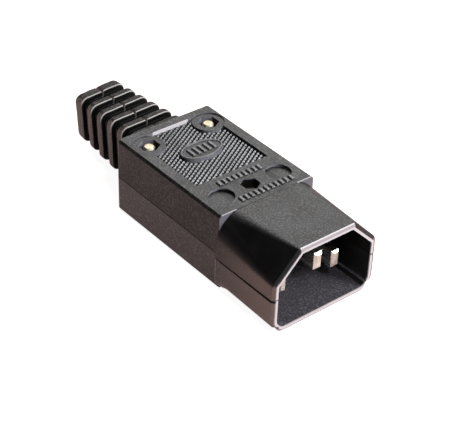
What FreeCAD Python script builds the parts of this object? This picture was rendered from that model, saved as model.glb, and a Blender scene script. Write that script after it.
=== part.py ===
import FreeCAD, Part
import os
import re
import Sketcher

# A rewireable in-line power plug: a long housing in two half shells, a hooded mouth with three
# flat pins, and a ribbed rubber boot where the cord comes in.
# x runs along the plug towards the mouth, y across it and z up from the face it lies on.
# Every sketch measures x from the housing's front face, where the hood begins. Each piece is then
# shifted along x by the same amount, so that the origin is under the middle of the whole plug.

SIZES = [
    ("body_length", 35.0, "housing, rear face to front face"),
    ("body_width", 24.8, "housing, widest at the parting line"),
    ("body_height", 17.9, "housing, base to top face"),
    ("body_draft", 0.1, "each side leans in by this above and below the parting line"),
    ("body_corner_round", 1.0, "upright rear corners"),
    ("body_top_bevel", 0.5, "edge round the top face"),
    ("body_base_bevel", 0.6, "edge round the base"),
    ("parting_height", 8.8, "where the half shells meet"),
    ("seam_depth", 0.2, "line round the housing where the half shells meet"),
    ("seam_height", 0.2, "line round the housing where the half shells meet"),
    ("side_wall", 2.2, "walls of the wiring chamber"),
    ("rear_wall", 2.0, "wall that holds the boot"),
    ("roof_thickness", 2.2, "chamber roof to top face"),
    ("floor_thickness", 2.0, "base to chamber floor"),
    ("bulkhead", 9.0, "solid stretch behind the front face that grips the contact block"),
    ("cut_margin", 5.0, "how far a cutting outline runs past the outside"),
    ("fit_gap", 0.05, "clearance round pieces that are laid in place"),
    ("shroud_length", 18.3, "hood, from the front face to the mouth"),
    ("shroud_width", 27.0, "hood at the mouth, side to side"),
    ("mouth_height", 18.7, "hood at the mouth"),
    ("shoulder", 6.2, "height and width of the sloping corners at the mouth"),
    ("root_inset", 0.4, "hood narrower on each side where it leaves the housing"),
    ("root_height", 17.85, "hood where it leaves the housing"),
    ("root_shoulder_width", 4.1, "sloping corners where the hood leaves the housing"),
    ("root_shoulder_height", 3.2, "sloping corners where the hood leaves the housing"),
    ("root_shoulder_round", 4.5, "top edge of the slope at the root"),
    ("mouth_shoulder_round", 0.9, "top edge of the slope at the mouth"),
    ("root_side_round", 7.0, "lower edge of the slope at the root"),
    ("mouth_side_round", 2.5, "lower edge of the slope at the mouth"),
    ("shroud_base_round", 3.0, "lower corners of the hood"),
    ("rim_bevel", 0.45, "outer edge of the mouth"),
    ("slot_root_drop", 0.7, "middle of the slot at the root, below the parting line"),
    ("slot_mouth_drop", 0.2, "middle of the slot at the mouth, below the parting line"),
    ("slot_root_gap", 0.3, "slot between the hood's halves, at the root"),
    ("slot_mouth_gap", 0.65, "slot between the hood's halves, at the mouth"),
    ("lip_thickness", 0.5, "thin lip of the lower half that closes the slot from inside"),
    ("cavity_width", 24.4, "inside of the mouth"),
    ("cavity_height", 16.3, "inside of the mouth"),
    ("cavity_depth", 16.3, "mouth to the back wall"),
    ("cavity_shoulder", 5.7, "sloping corners inside the mouth"),
    ("cavity_draft", 0.5, "the back wall is this much smaller on each side"),
    ("cavity_base_round", 1.6, "lower corners inside"),
    ("pin_pitch", 14.0, "line pin to neutral pin"),
    ("pin_height", 4.0, "flat side of a pin"),
    ("pin_thickness", 2.0, "narrow side of a pin"),
    ("pin_tip_bevel", 0.5, "bevel round the tip"),
    ("earth_rise", 4.0, "earth pin above the other two"),
    ("earth_setback", 2.2, "earth tip behind the mouth"),
    ("live_setback", 4.45, "line and neutral tips behind the mouth"),
    ("earth_jog", 2.2, "where the earth strip turns aside, behind the front face"),
    ("earth_strip", 1.2, "thickness of the earth strip past the turn"),
    ("earth_tail_offset", 2.0, "inner face of the earth strip from the middle"),
    ("earth_terminal_step", 2.0, "earth terminal further back than the other two"),
    ("earth_overlap", 1.5, "length over which the strip joins its terminal"),
    ("block_width", 19.2, "contact block"),
    ("block_base", 0.8, "contact block under the lower pins"),
    ("block_cover", 0.5, "contact block above the earth pin"),
    ("barrier_length", 8.0, "walls between the terminals"),
    ("barrier_offset", 3.6, "inner face of each barrier from the middle"),
    ("barrier_thickness", 0.7, "walls between the terminals"),
    ("barrel_length", 6.5, "terminal"),
    ("barrel_width", 5.0, "terminal"),
    ("barrel_height", 5.5, "terminal"),
    ("barrel_gap", 0.1, "terminal behind the contact block"),
    ("wire_radius", 1.4, "hole for a core"),
    ("wire_depth", 5.0, "hole for a core"),
    ("terminal_screw_radius", 1.25, "terminal screw"),
    ("terminal_screw_length", 2.4, "terminal screw under its head"),
    ("terminal_head_radius", 2.0, "terminal screw"),
    ("terminal_head_height", 1.2, "terminal screw"),
    ("thread_gap", 0.03, "round a screw in its thread"),
    ("hole_gap", 0.1, "round a screw in a plain hole"),
    ("slot_share", 0.45, "screwdriver slot as a share of the head's height"),
    ("slot_width", 0.6, "screwdriver slot"),
    ("rear_screw_back", 29.3, "rear screws behind the front face"),
    ("rear_screw_side", 7.9, "rear screws from the middle"),
    ("rear_screw_radius", 1.3, "rear screws"),
    ("rear_nut_across", 4.0, "rear nuts across their flats"),
    ("rear_nut_height", 1.6, "rear nuts"),
    ("rear_pocket_depth", 4.4, "top face to the rear nuts' seats"),
    ("rear_end_depth", 0.5, "rear screw ends below the top face"),
    ("front_screw_back", 5.5, "front screw behind the front face"),
    ("front_screw_radius", 1.0, "front screw"),
    ("front_nut_across", 3.6, "front nut across its flats"),
    ("front_nut_height", 1.1, "front nut"),
    ("front_pocket_depth", 3.4, "top face to the front nut's seat"),
    ("pocket_gap", 0.1, "round a nut in its pocket"),
    ("head_radius", 2.1, "housing screw heads"),
    ("head_height", 1.6, "housing screw heads"),
    ("head_recess", 2.0, "base to a screw head's seat"),
    ("head_gap", 0.2, "round a screw head"),
    ("pillar_front", 2.6, "pillars of the rear screws, screw's middle to front face"),
    ("pillar_back", 2.2, "pillars of the rear screws, screw's middle to rear face"),
    ("pillar_side", 2.8, "pillars of the rear screws, screw's middle to inner face"),
    ("panel_front", 11.2, "sunk panel's front edge behind the front face"),
    ("panel_length", 21.2, "sunk panel along the plug"),
    ("panel_width", 18.9, "sunk panel across the plug"),
    ("panel_depth", 1.1, "sunk panel below the top face"),
    ("boss_radius", 3.55, "round boss about each rear pocket"),
    ("boss_step", 0.25, "boss below the top face"),
    ("medallion_back", 21.5, "oval pad behind the front face"),
    ("medallion_length", 10.4, "oval pad across the plug"),
    ("medallion_width", 6.1, "oval pad along the plug"),
    ("medallion_step", 0.15, "oval pad below the top face"),
    ("dimple_back", 5.4, "round recesses behind the front face"),
    ("dimple_side", 7.45, "round recesses from the middle"),
    ("dimple_radius", 2.75, "round recesses"),
    ("dimple_depth", 0.6, "round recesses"),
    ("boot_length", 25.5, "boot outside the housing"),
    ("boot_axis", 8.5, "height of the cord's middle"),
    ("boot_rear_width", 10.7, "boot at the cord end"),
    ("boot_rear_height", 10.3, "boot at the cord end"),
    ("boot_front_width", 14.6, "boot at the housing"),
    ("boot_front_height", 14.5, "boot at the housing"),
    ("boot_corner_round", 1.6, "corners of the boot's section"),
    ("boot_end_bevel", 0.8, "edge round the cord end"),
    ("end_rib", 3.2, "first rib, at the cord end"),
    ("rib", 2.0, "each other rib"),
    ("groove", 2.19, "space between ribs"),
    ("groove_depth", 1.3, "space between ribs"),
    ("slit_width", 0.45, "slit along the top of the boot"),
    ("slit_depth", 1.5, "slit along the top of the boot"),
    ("cord_radius", 3.25, "hole for the cord"),
    ("neck_width", 10.8, "boot through the rear wall"),
    ("neck_height", 10.4, "boot through the rear wall"),
    ("flange_width", 12.2, "boot behind the rear wall"),
    ("flange_height", 12.0, "boot behind the rear wall"),
    ("flange_length", 1.2, "boot behind the rear wall"),
    ("flange_round", 1.0, "corners of the neck and flange"),
    ("clamp_back", 23.6, "cord clamp behind the front face"),
    ("clamp_length", 4.0, "cord clamp along the plug"),
    ("clamp_width", 17.0, "cord clamp across the plug"),
    ("clamp_ear", 2.2, "thickness of the clamp's ends"),
    ("clamp_crown", 4.8, "height of the clamp over the cord"),
    ("clamp_crown_width", 8.6, "width of the clamp over the cord"),
    ("clamp_screw_side", 6.6, "clamp screws from the middle"),
    ("clamp_screw_radius", 1.0, "clamp screws"),
    ("clamp_screw_length", 7.0, "clamp screws under their heads"),
    ("clamp_head_radius", 1.8, "clamp screws"),
    ("clamp_head_height", 1.2, "clamp screws"),
    ("post_radius", 2.1, "posts under the clamp screws"),
    ("saddle_length", 3.0, "rib under the cord"),
    ("saddle_width", 15.0, "rib under the cord"),
]
NAMES = {name for name, value, note in SIZES}
RIBS_AFTER_THE_FIRST = 4

# Places worked out from the sizes, as formulas.
REAR = "(-body_length)"
BOOT_REAR = "(-body_length - boot_length)"
CAVITY_BACK = "(shroud_length - cavity_depth)"
CAVITY_FLOOR = "((mouth_height - cavity_height) / 2)"
LIVE_LEVEL = "((mouth_height - earth_rise) / 2)"
EARTH_LEVEL = "((mouth_height + earth_rise) / 2)"
CHAMBER_SIDE = "(body_width / 2 - side_wall)"
CHAMBER_ROOF = "(body_height - roof_thickness)"
BLOCK_LOW = f"({LIVE_LEVEL} - pin_height / 2 - block_base)"
BLOCK_TOP = f"({EARTH_LEVEL} + pin_height / 2 + block_cover)"
LIVE_BARREL_FRONT = "(-bulkhead - barrel_gap)"
EARTH_BARREL_FRONT = "(-bulkhead - barrel_gap - earth_terminal_step)"
SIDES = (("left", 1), ("right", -1))

doc = FreeCAD.newDocument("power_plug")
sheet = doc.addObject("Spreadsheet::Sheet", "Sizes")
for row, (name, value, note) in enumerate(SIZES, start=1):
    sheet.set(f"A{row}", note)
    sheet.set(f"B{row}", str(value))
    sheet.setAlias(f"B{row}", name)
doc.recompute()


def bound(formula):
    """The formula with each size pointing at its cell."""
    return re.sub(r"[a-z]\w*", lambda word: f"Sizes.{word[0]}" if word[0] in NAMES else word[0], formula)


def size(name):
    return float(sheet.get(name))


def corner_points(left, right, low, high):
    """The corners of a rectangle, round from the lower left."""
    return [(left, low), (right, low), (right, high), (left, high)]


class Piece:
    """One separate piece of the plug, built feature by feature."""

    made = []

    def __init__(self, name):
        self.body = doc.addObject("PartDesign::Body", name)
        self.body.Label = name
        self.name = name
        self.volume = 0.0
        shift = "(body_length + boot_length - shroud_length) / 2"
        self.body.setExpression("Placement.Base.x", bound(shift))
        Piece.made.append(self)

    def sketch(self, name, plane, offset):
        """An empty sketch on one of the body's own planes, moved along the plane's normal."""
        item = self.body.newObject("Sketcher::SketchObject", f"{self.name}_{name}_sketch")
        support = [part for part in self.body.Origin.OriginFeatures if part.Role == f"{plane}_Plane"]
        item.AttachmentSupport = [(support[0], "")]
        item.MapMode = "FlatFace"
        item.setExpression("AttachmentOffset.Base.z", bound(offset))
        return item

    def finish(self, feature, cuts):
        """Recompute, and stop if the feature failed or changed nothing."""
        doc.recompute()
        volume = feature.Shape.Volume
        change = self.volume - volume if cuts else volume - self.volume
        if change <= 0 or volume <= 0 or not feature.Shape.isValid():
            raise RuntimeError(f"{feature.Name} changes nothing or leaves a broken shape")
        self.volume = volume
        return feature

    def extrude(self, name, profile, length, cut=False, both_ways=False):
        """Pad the profile along its normal, or cut the same volume away."""
        kind = "PartDesign::Pocket" if cut else "PartDesign::Pad"
        feature = self.body.newObject(kind, f"{self.name}_{name}")
        feature.Profile = profile
        feature.SideType = "Symmetric" if both_ways else "One side"
        feature.Reversed = cut and not both_ways
        feature.setExpression("Length", bound(length))
        profile.Visibility = False
        return self.finish(feature, cut)

    def loft(self, name, first, last, cut=False):
        """Join two sections, the one nearer the mouth first, so that its edges can be rounded."""
        kind = "PartDesign::SubtractiveLoft" if cut else "PartDesign::AdditiveLoft"
        feature = self.body.newObject(kind, f"{self.name}_{name}")
        feature.Profile = first
        feature.Sections = [last]
        return self.finish(feature, cut)

    def dress(self, kind, name, amount, wanted):
        """Round or bevel every edge that the test picks."""
        base = self.body.Tip
        picked = [f"Edge{i}" for i, edge in enumerate(base.Shape.Edges, start=1) if wanted(edge)]
        if not picked:
            raise RuntimeError(f"{self.name}: no edge for {name}")
        feature = self.body.newObject(f"PartDesign::{kind}", f"{self.name}_{name}")
        feature.Base = (base, picked)
        feature.setExpression("Radius" if kind == "Fillet" else "Size", bound(amount))
        return self.finish(feature, True)

    def block(self, name, x, y, z, cut=False):
        """A rectangular block between pairs of x, y and z."""
        item = self.sketch(name, "XY", z[0])
        outline(item, corner_points(x[0], x[1], y[0], y[1]))
        return self.extrude(name, item, f"{z[1]} - {z[0]}", cut)

    def post(self, name, x, y, z, radius, cut=False):
        """An upright round post between a pair of z."""
        item = self.sketch(name, "XY", z[0])
        circle(item, x, y, radius)
        return self.extrude(name, item, f"{z[1]} - {z[0]}", cut)

    def rod(self, name, x, y, z, radius, cut=False):
        """A round rod along the plug between a pair of x."""
        item = self.sketch(name, "YZ", x[0])
        circle(item, y, z, radius)
        return self.extrude(name, item, f"{x[1]} - {x[0]}", cut)

    def hexagon(self, name, x, y, z, across, cut=False):
        """An upright hexagonal post with a corner towards the mouth."""
        item = self.sketch(name, "XY", z[0])
        points = []
        for turn in range(0, 360, 60):
            reach = f"{across} / 2 / cos(30)"
            points.append((f"{x} + {reach} * cos({turn})", f"{y} + {reach} * sin({turn})"))
        outline(item, points)
        return self.extrude(name, item, f"{z[1]} - {z[0]}", cut)


def place(item, geometry, point, x, y):
    """Tie a point of the sketch to x and y."""
    for kind, formula in (("DistanceX", x), ("DistanceY", y)):
        number = item.addConstraint(Sketcher.Constraint(kind, -1, 1, geometry, point, 1.0 + geometry))
        item.setExpression(f"Constraints[{number}]", bound(formula))


def outline(item, points, rounds=None):
    """A closed outline through the points, with round corners of the given sizes."""
    first = item.GeometryCount
    count = len(points)
    start = [FreeCAD.Vector(3 * i, i * i, 0) for i in range(count)]
    for i in range(count):
        item.addGeometry(Part.LineSegment(start[i], start[(i + 1) % count]), False)
    for i in range(count):
        item.addConstraint(Sketcher.Constraint("Coincident", first + i, 2, first + (i + 1) % count, 1))
    for i, (x, y) in enumerate(points):
        place(item, first + i, 1, x, y)
    doc.recompute()
    for corner, radius in (rounds or {}).items():
        item.fillet(first + corner, 1, size("fit_gap"), True, True)
        arcs = [i for i, part in enumerate(item.Geometry) if isinstance(part, Part.ArcOfCircle)]
        number = item.addConstraint(Sketcher.Constraint("Radius", arcs[-1], size("fit_gap")))
        item.setExpression(f"Constraints[{number}]", bound(radius))
    doc.recompute()


def circle(item, x, y, radius):
    number = item.addGeometry(Part.Circle(FreeCAD.Vector(1, 1, 0), FreeCAD.Vector(0, 0, 1), 1), False)
    place(item, number, 3, x, y)
    bond = item.addConstraint(Sketcher.Constraint("Radius", number, 1.0))
    item.setExpression(f"Constraints[{bond}]", bound(radius))


def oval(item, x, y, width, length):
    """An ellipse with its long axis across the plug."""
    number = item.addGeometry(
        Part.Ellipse(FreeCAD.Vector(0, 2, 0), FreeCAD.Vector(1, 0, 0), FreeCAD.Vector(0, 0, 0)), False)
    item.exposeInternalGeometry(number)
    place(item, number, 3, x, y)
    item.addConstraint(Sketcher.Constraint("Vertical", number + 1))
    for axis, formula in ((number + 1, length), (number + 2, width)):
        bond = item.addConstraint(Sketcher.Constraint("Distance", axis, 2.0))
        item.setExpression(f"Constraints[{bond}]", bound(formula))


def hood_section(shell, name, x, half, levels, slope, rounds):
    """A section of the hood: square below, with two sloping corners above."""
    low, high = levels
    across, down = slope
    base, side, top = rounds
    item = shell.sketch(name, "YZ", x)
    points = [(f"-({half})", low), (half, low), (half, f"{high} - {down}"), (f"{half} - {across}", high),
              (f"{across} - ({half})", high), (f"-({half})", f"{high} - {down}")]
    outline(item, points, {0: base, 1: base, 2: side, 3: top, 4: top, 5: side})
    return item


def cavity_points(inset):
    """The inside of the hood, smaller all round by the inset."""
    side = f"(cavity_width / 2 - {inset})"
    low = f"({CAVITY_FLOOR} + {inset})"
    high = f"({CAVITY_FLOOR} + cavity_height - {inset})"
    slope = "cavity_shoulder"
    return [(f"-{side}", low), (side, low), (side, f"{high} - {slope}"), (f"{side} - {slope}", high),
            (f"{slope} - {side}", high), (f"-{side}", f"{high} - {slope}")]


def flat_across_x(edge, x):
    box = edge.BoundBox
    return abs(box.XMin - x) < 0.01 and abs(box.XMax - x) < 0.01


def solid_form(shell):
    """The outside of the whole plug: the housing block and the hood that grows from it."""
    section = shell.sketch("body", "YZ", REAR)
    half, lean = "body_width / 2", "body_width / 2 - body_draft"
    outline(section, [(f"-({lean})", "0"), (lean, "0"), (half, "parting_height"), (lean, "body_height"),
                      (f"-({lean})", "body_height"), (f"-{half}", "parting_height")])
    shell.extrude("body", section, "body_length")
    rear, height = -size("body_length"), size("body_height")

    def rear_upright(edge):
        return flat_across_x(edge, rear) and edge.BoundBox.ZLength > edge.BoundBox.YLength

    def along_or_rear(edge, level):
        box = edge.BoundBox
        return box.ZLength < 0.01 and abs(box.ZMin - level) < 0.01 and box.XMin < -0.01

    shell.dress("Fillet", "rear_corners", "body_corner_round", rear_upright)
    shell.dress("Chamfer", "top_edge", "body_top_bevel", lambda edge: along_or_rear(edge, height))
    shell.dress("Chamfer", "base_edge", "body_base_bevel", lambda edge: along_or_rear(edge, 0.0))

    root = hood_section(shell, "hood_root", "0", "shroud_width / 2 - root_inset", ("0", "root_height"),
                        ("root_shoulder_width", "root_shoulder_height"),
                        ("shroud_base_round", "root_side_round", "root_shoulder_round"))
    mouth_rounds = ("shroud_base_round", "mouth_side_round", "mouth_shoulder_round")
    mouths = [hood_section(shell, f"hood_mouth_{i}", "shroud_length - rim_bevel", "shroud_width / 2",
                           ("0", "mouth_height"), ("shoulder", "shoulder"), mouth_rounds) for i in (1, 2)]
    shell.loft("hood", mouths[0], root)
    slope = "(shoulder - rim_bevel * (2 - sqrt(2)))"
    rim = hood_section(shell, "hood_rim", "shroud_length", "shroud_width / 2 - rim_bevel",
                       ("rim_bevel", "(mouth_height - rim_bevel)"), (slope, slope),
                       [f"{radius} - rim_bevel" for radius in mouth_rounds])
    shell.loft("rim", rim, mouths[1])


def hollows(shell):
    """Mouth, wiring chamber, seats and screw holes, the same in both halves."""
    back = shell.sketch("cavity_back", "YZ", CAVITY_BACK)
    rounds = {0: "cavity_base_round", 1: "cavity_base_round"}
    outline(back, cavity_points("cavity_draft"), rounds)
    front = shell.sketch("cavity_front", "YZ", "shroud_length")
    outline(front, cavity_points("0"), rounds)
    shell.loft("cavity", front, back, cut=True)

    chamber = (f"{REAR} + rear_wall", "(-bulkhead)")
    shell.block("chamber", chamber, (f"-{CHAMBER_SIDE}", CHAMBER_SIDE), ("floor_thickness", CHAMBER_ROOF),
                cut=True)
    window = ("(-block_width / 2)", "(block_width / 2)")
    shell.block("window", ("(-bulkhead)", CAVITY_BACK), window, (BLOCK_LOW, BLOCK_TOP), cut=True)

    neck = shell.sketch("neck", "YZ", REAR)
    half, rise = "(neck_width / 2 + fit_gap)", "(neck_height / 2 + fit_gap)"
    corners = corner_points(f"-{half}", half, f"boot_axis - {rise}", f"boot_axis + {rise}")
    outline(neck, corners, {i: "flange_round" for i in range(4)})
    shell.extrude("neck", neck, "rear_wall", cut=True)

    along = ("(-rear_screw_back - pillar_back)", "(-rear_screw_back + pillar_front)")
    for side, sign in SIDES:
        spot = ("(-rear_screw_back)", f"({sign} * rear_screw_side)")
        inner, wall = f"({sign} * (rear_screw_side - pillar_side))", f"({sign} * {CHAMBER_SIDE})"
        across = (inner, wall) if sign > 0 else (wall, inner)
        shell.block(f"{side}_pillar", along, across, ("floor_thickness", CHAMBER_ROOF))
        through = ("(floor_thickness / 2)", "(body_height - rear_pocket_depth)")
        shell.post(f"{side}_hole", *spot, through, "rear_screw_radius + hole_gap", cut=True)
    through = ("(floor_thickness / 2)", "(body_height - front_pocket_depth)")
    shell.post("front_hole", "(-front_screw_back)", "0", through, "front_screw_radius + hole_gap", cut=True)


def slot_levels(sign):
    """Levels of the slot's upper (+) or lower (-) face at the root and at the mouth."""
    at_root = f"parting_height - slot_root_drop {sign} slot_root_gap / 2"
    at_mouth = f"parting_height - slot_mouth_drop {sign} slot_mouth_gap / 2"
    return at_root, at_mouth


def split(shell, keep_top):
    """Cut away the other half. In the hood the parting line follows the slot's upper face."""
    far = "(-cut_margin)" if keep_top else "(body_height + cut_margin)"
    gap = "" if keep_top else " - fit_gap"
    at_root, at_mouth = slot_levels("+")
    item = shell.sketch("split", "XZ", "0")
    outline(item, [(f"{REAR} - cut_margin", far), ("shroud_length + cut_margin", far),
                   ("shroud_length + cut_margin", at_mouth + gap), ("shroud_length", at_mouth + gap),
                   ("0", at_root + gap), ("0", "parting_height"), (f"{REAR} - cut_margin", "parting_height")])
    shell.extrude("split", item, "shroud_width + 2 * cut_margin", cut=True, both_ways=True)


def open_slot(shell):
    """The slot seen from outside: the lower half is cut lower there, but for a thin lip inside."""
    at_root, at_mouth = slot_levels("-")
    lip = "(cavity_width / 2 + lip_thickness)"
    for side, offset in (("right", lip), ("left", f"(-{lip} - cut_margin)")):
        item = shell.sketch(f"{side}_slot", "XZ", offset)
        outline(item, [("0", at_root), ("shroud_length", at_mouth), ("shroud_length + cut_margin", at_mouth),
                       ("shroud_length + cut_margin", "body_height"), ("0", "body_height")])
        shell.extrude(f"{side}_slot", item, "cut_margin", cut=True)


def seam(shell):
    """A fine line round the housing, cut from the lower half's edge."""
    out, inner = "(body_width / 2 + cut_margin)", "(body_width / 2 - seam_depth)"
    back = f"{REAR} + seam_depth"
    item = shell.sketch("seam", "XY", "parting_height - seam_height")
    outline(item, [(f"{REAR} - cut_margin", f"-{out}"), ("0", f"-{out}"), ("0", f"-{inner}"), (back, f"-{inner}"),
                   (back, inner), ("0", inner), ("0", out), (f"{REAR} - cut_margin", out)])
    shell.extrude("seam", item, "seam_height", cut=True)


def upper_shell():
    shell = Piece("upper_shell")
    solid_form(shell)
    hollows(shell)
    split(shell, True)
    top = "body_height"
    sunk = "(body_height - panel_depth)"
    half = "(panel_width / 2)"
    along = ("(-panel_front - panel_length)", "(-panel_front)")
    shell.block("panel", along, (f"-{half}", half), (sunk, top), cut=True)
    for side, sign in SIDES:
        spot = ("(-rear_screw_back)", f"({sign} * rear_screw_side)")
        shell.post(f"{side}_step", *spot, (f"({top} - boss_step)", top), "boss_radius", cut=True)
        shell.post(f"{side}_boss", *spot, (sunk, f"({top} - boss_step)"), "boss_radius")
        seat = f"({top} - rear_pocket_depth)"
        shell.hexagon(f"{side}_pocket", *spot, (seat, top), "(rear_nut_across + 2 * pocket_gap)", cut=True)
        spot = ("(-dimple_back)", f"({sign} * dimple_side)")
        shell.post(f"{side}_dimple", *spot, (f"({top} - dimple_depth)", top), "dimple_radius", cut=True)
    seat = f"({top} - front_pocket_depth)"
    across = "(front_nut_across + 2 * pocket_gap)"
    shell.hexagon("front_pocket", "(-front_screw_back)", "0", (seat, top), across, cut=True)
    pad = shell.sketch("medallion", "XY", sunk)
    oval(pad, "(-medallion_back)", "0", "medallion_width", "medallion_length")
    shell.extrude("medallion", pad, f"({top} - medallion_step) - {sunk}")


def lower_shell():
    shell = Piece("lower_shell")
    solid_form(shell)
    hollows(shell)
    split(shell, False)
    open_slot(shell)
    seam(shell)
    for side, sign in SIDES:
        spot = ("(-rear_screw_back)", f"({sign} * rear_screw_side)")
        shell.post(f"{side}_seat", *spot, ("0", "head_recess"), "head_radius + head_gap", cut=True)
        spot = ("(-clamp_back)", f"({sign} * clamp_screw_side)")
        shell.post(f"{side}_clamp_post", *spot, ("floor_thickness", "parting_height"), "post_radius")
    shell.post("front_seat", "(-front_screw_back)", "0", ("0", "head_recess"), "head_radius + head_gap", cut=True)
    along = ("(-clamp_back - saddle_length / 2)", "(-clamp_back + saddle_length / 2)")
    across = ("(-saddle_width / 2)", "(saddle_width / 2)")
    shell.block("saddle", along, across, ("floor_thickness", "boot_axis"))
    shell.rod("saddle_bore", ("(-clamp_back - clamp_length)", "(-clamp_back + clamp_length)"), "0", "boot_axis",
              "cord_radius + fit_gap", cut=True)
    for side, sign in SIDES:
        spot = ("(-clamp_back)", f"({sign} * clamp_screw_side)")
        hole = ("(parting_height + clamp_ear - clamp_screw_length - hole_gap)", "parting_height")
        shell.post(f"{side}_clamp_hole", *spot, hole, "clamp_screw_radius + thread_gap", cut=True)


def boot_size(kind, along):
    """Width or height of the boot's taper at a distance from the cord end."""
    return f"(boot_rear_{kind} + (boot_front_{kind} - boot_rear_{kind}) * ({along}) / boot_length)"


def boot_points(along, inset):
    half = f"({boot_size('width', along)} / 2 - {inset})"
    rise = f"({boot_size('height', along)} / 2 - {inset})"
    return corner_points(f"-{half}", half, f"boot_axis - {rise}", f"boot_axis + {rise}")


def cord_boot():
    """The ribbed rubber boot: a tapering block with grooves, a neck and a flange inside the housing."""
    boot = Piece("cord_boot")
    corners = {i: "boot_corner_round" for i in range(4)}
    rear = boot.sketch("rear", "YZ", BOOT_REAR)
    outline(rear, boot_points("0", "0"), corners)
    front = boot.sketch("front", "YZ", REAR)
    outline(front, boot_points("boot_length", "0"), corners)
    boot.loft("taper", front, rear)
    rear_x = -size("body_length") - size("boot_length")
    boot.dress("Chamfer", "cord_end", "boot_end_bevel", lambda edge: flat_across_x(edge, rear_x))

    for i in range(RIBS_AFTER_THE_FIRST + 1):
        start = f"end_rib + {i} * (groove + rib)"
        ring = boot.sketch(f"groove_{i + 1}", "YZ", f"{BOOT_REAR} + {start}")
        reach = "(boot_front_width)"
        outline(ring, corner_points(f"-{reach}", reach, f"boot_axis - {reach}", f"boot_axis + {reach}"))
        outline(ring, boot_points(f"{start} + groove / 2", "groove_depth"))
        boot.extrude(f"groove_{i + 1}", ring, "groove", cut=True)

    for name, x, length in (("neck", REAR, "rear_wall"), ("flange", f"{REAR} + rear_wall", "flange_length")):
        item = boot.sketch(name, "YZ", x)
        half, rise = f"{name}_width / 2", f"{name}_height / 2"
        points = corner_points(f"-{half}", half, f"boot_axis - {rise}", f"boot_axis + {rise}")
        outline(item, points, {i: "flange_round" for i in range(4)})
        boot.extrude(name, item, length)
    inner_end = f"({REAR} + rear_wall + flange_length)"
    boot.rod("bore", (BOOT_REAR, inner_end), "0", "boot_axis", "cord_radius", cut=True)
    slit = boot.sketch("slit", "XZ", "0")
    low = "boot_axis - slit_depth"
    high = "boot_axis + cut_margin"
    outline(slit, [(BOOT_REAR, f"{low} + boot_rear_height / 2"), (REAR, f"{low} + boot_front_height / 2"),
                   (REAR, f"{high} + boot_front_height / 2"), (BOOT_REAR, f"{high} + boot_front_height / 2")])
    boot.extrude("slit", slit, "slit_width", cut=True, both_ways=True)


def earth_points(gap):
    """The earth pin seen from above: a straight blade that steps aside round the front screw."""
    half = f"(pin_thickness / 2 + {gap})"
    inner = f"(earth_tail_offset - {gap})"
    outer = f"(earth_tail_offset + earth_strip + {gap})"
    turn = f"(-earth_jog + {gap})"
    heel = f"(-earth_jog - earth_strip - {gap})"
    return half, inner, outer, turn, heel


def contact_block():
    """The insulating block that closes the back of the mouth and holds the three pins."""
    block = Piece("contact_block")
    half = "(block_width / 2 - fit_gap)"
    body_z = (f"({BLOCK_LOW} + fit_gap)", f"({BLOCK_TOP} - fit_gap)")
    block.block("body", ("(-bulkhead)", CAVITY_BACK), (f"-{half}", half), body_z)
    for side, sign in SIDES:
        near = f"({sign} * barrier_offset)"
        far = f"({sign} * (barrier_offset + barrier_thickness))"
        across = (near, far) if sign > 0 else (far, near)
        block.block(f"{side}_barrier", ("(-bulkhead - barrier_length)", "(-bulkhead)"), across, body_z)
        middle = f"({sign} * pin_pitch / 2)"
        slot = ("(pin_thickness / 2 + fit_gap)", "(pin_height / 2 + fit_gap)")
        across = (f"{middle} - {slot[0]}", f"{middle} + {slot[0]}")
        slot_z = (f"({LIVE_LEVEL} - {slot[1]})", f"({LIVE_LEVEL} + {slot[1]})")
        block.block(f"{side}_slot", ("(-bulkhead)", CAVITY_BACK), across, slot_z, cut=True)
    half, inner, outer, turn, heel = earth_points("fit_gap")
    base = f"({EARTH_LEVEL} - pin_height / 2 - fit_gap)"
    channel = block.sketch("channel", "XY", base)
    outline(channel, [(CAVITY_BACK, f"-{half}"), (CAVITY_BACK, half), (turn, half), (turn, outer),
                      ("-bulkhead", outer), ("-bulkhead", inner), (heel, inner), (heel, f"-{half}")])
    block.extrude("channel", channel, f"{body_z[1]} - {base}", cut=True)
    block.post("screw_hole", "(-front_screw_back)", "0", body_z, "front_screw_radius + hole_gap", cut=True)


def terminal(pin, front, middle, level):
    """The clamping barrel at a pin's inner end: a hole for the core and one for the screw."""
    z = (f"({level} - barrel_height / 2)", f"({level} + barrel_height / 2)")
    pin.block("barrel", (f"({front} - barrel_length)", front),
              (f"({middle} - barrel_width / 2)", f"({middle} + barrel_width / 2)"), z)
    pin.rod("core_hole", (f"({front} - barrel_length)", f"({front} - barrel_length + wire_depth)"), middle, level,
            "wire_radius", cut=True)
    pin.post("screw_hole", f"({front} - barrel_length / 2)", middle, (level, z[1]),
             "terminal_screw_radius + thread_gap", cut=True)


def bevel_tip(pin, setback):
    tip = size("shroud_length") - size(setback)
    pin.dress("Chamfer", "tip", "pin_tip_bevel", lambda edge: flat_across_x(edge, tip))


def live_pin(name, sign):
    pin = Piece(name)
    middle = f"({sign} * pin_pitch / 2)"
    pin.block("blade", (LIVE_BARREL_FRONT, "(shroud_length - live_setback)"),
              (f"({middle} - pin_thickness / 2)", f"({middle} + pin_thickness / 2)"),
              (f"({LIVE_LEVEL} - pin_height / 2)", f"({LIVE_LEVEL} + pin_height / 2)"))
    bevel_tip(pin, "live_setback")
    terminal(pin, LIVE_BARREL_FRONT, middle, LIVE_LEVEL)


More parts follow.
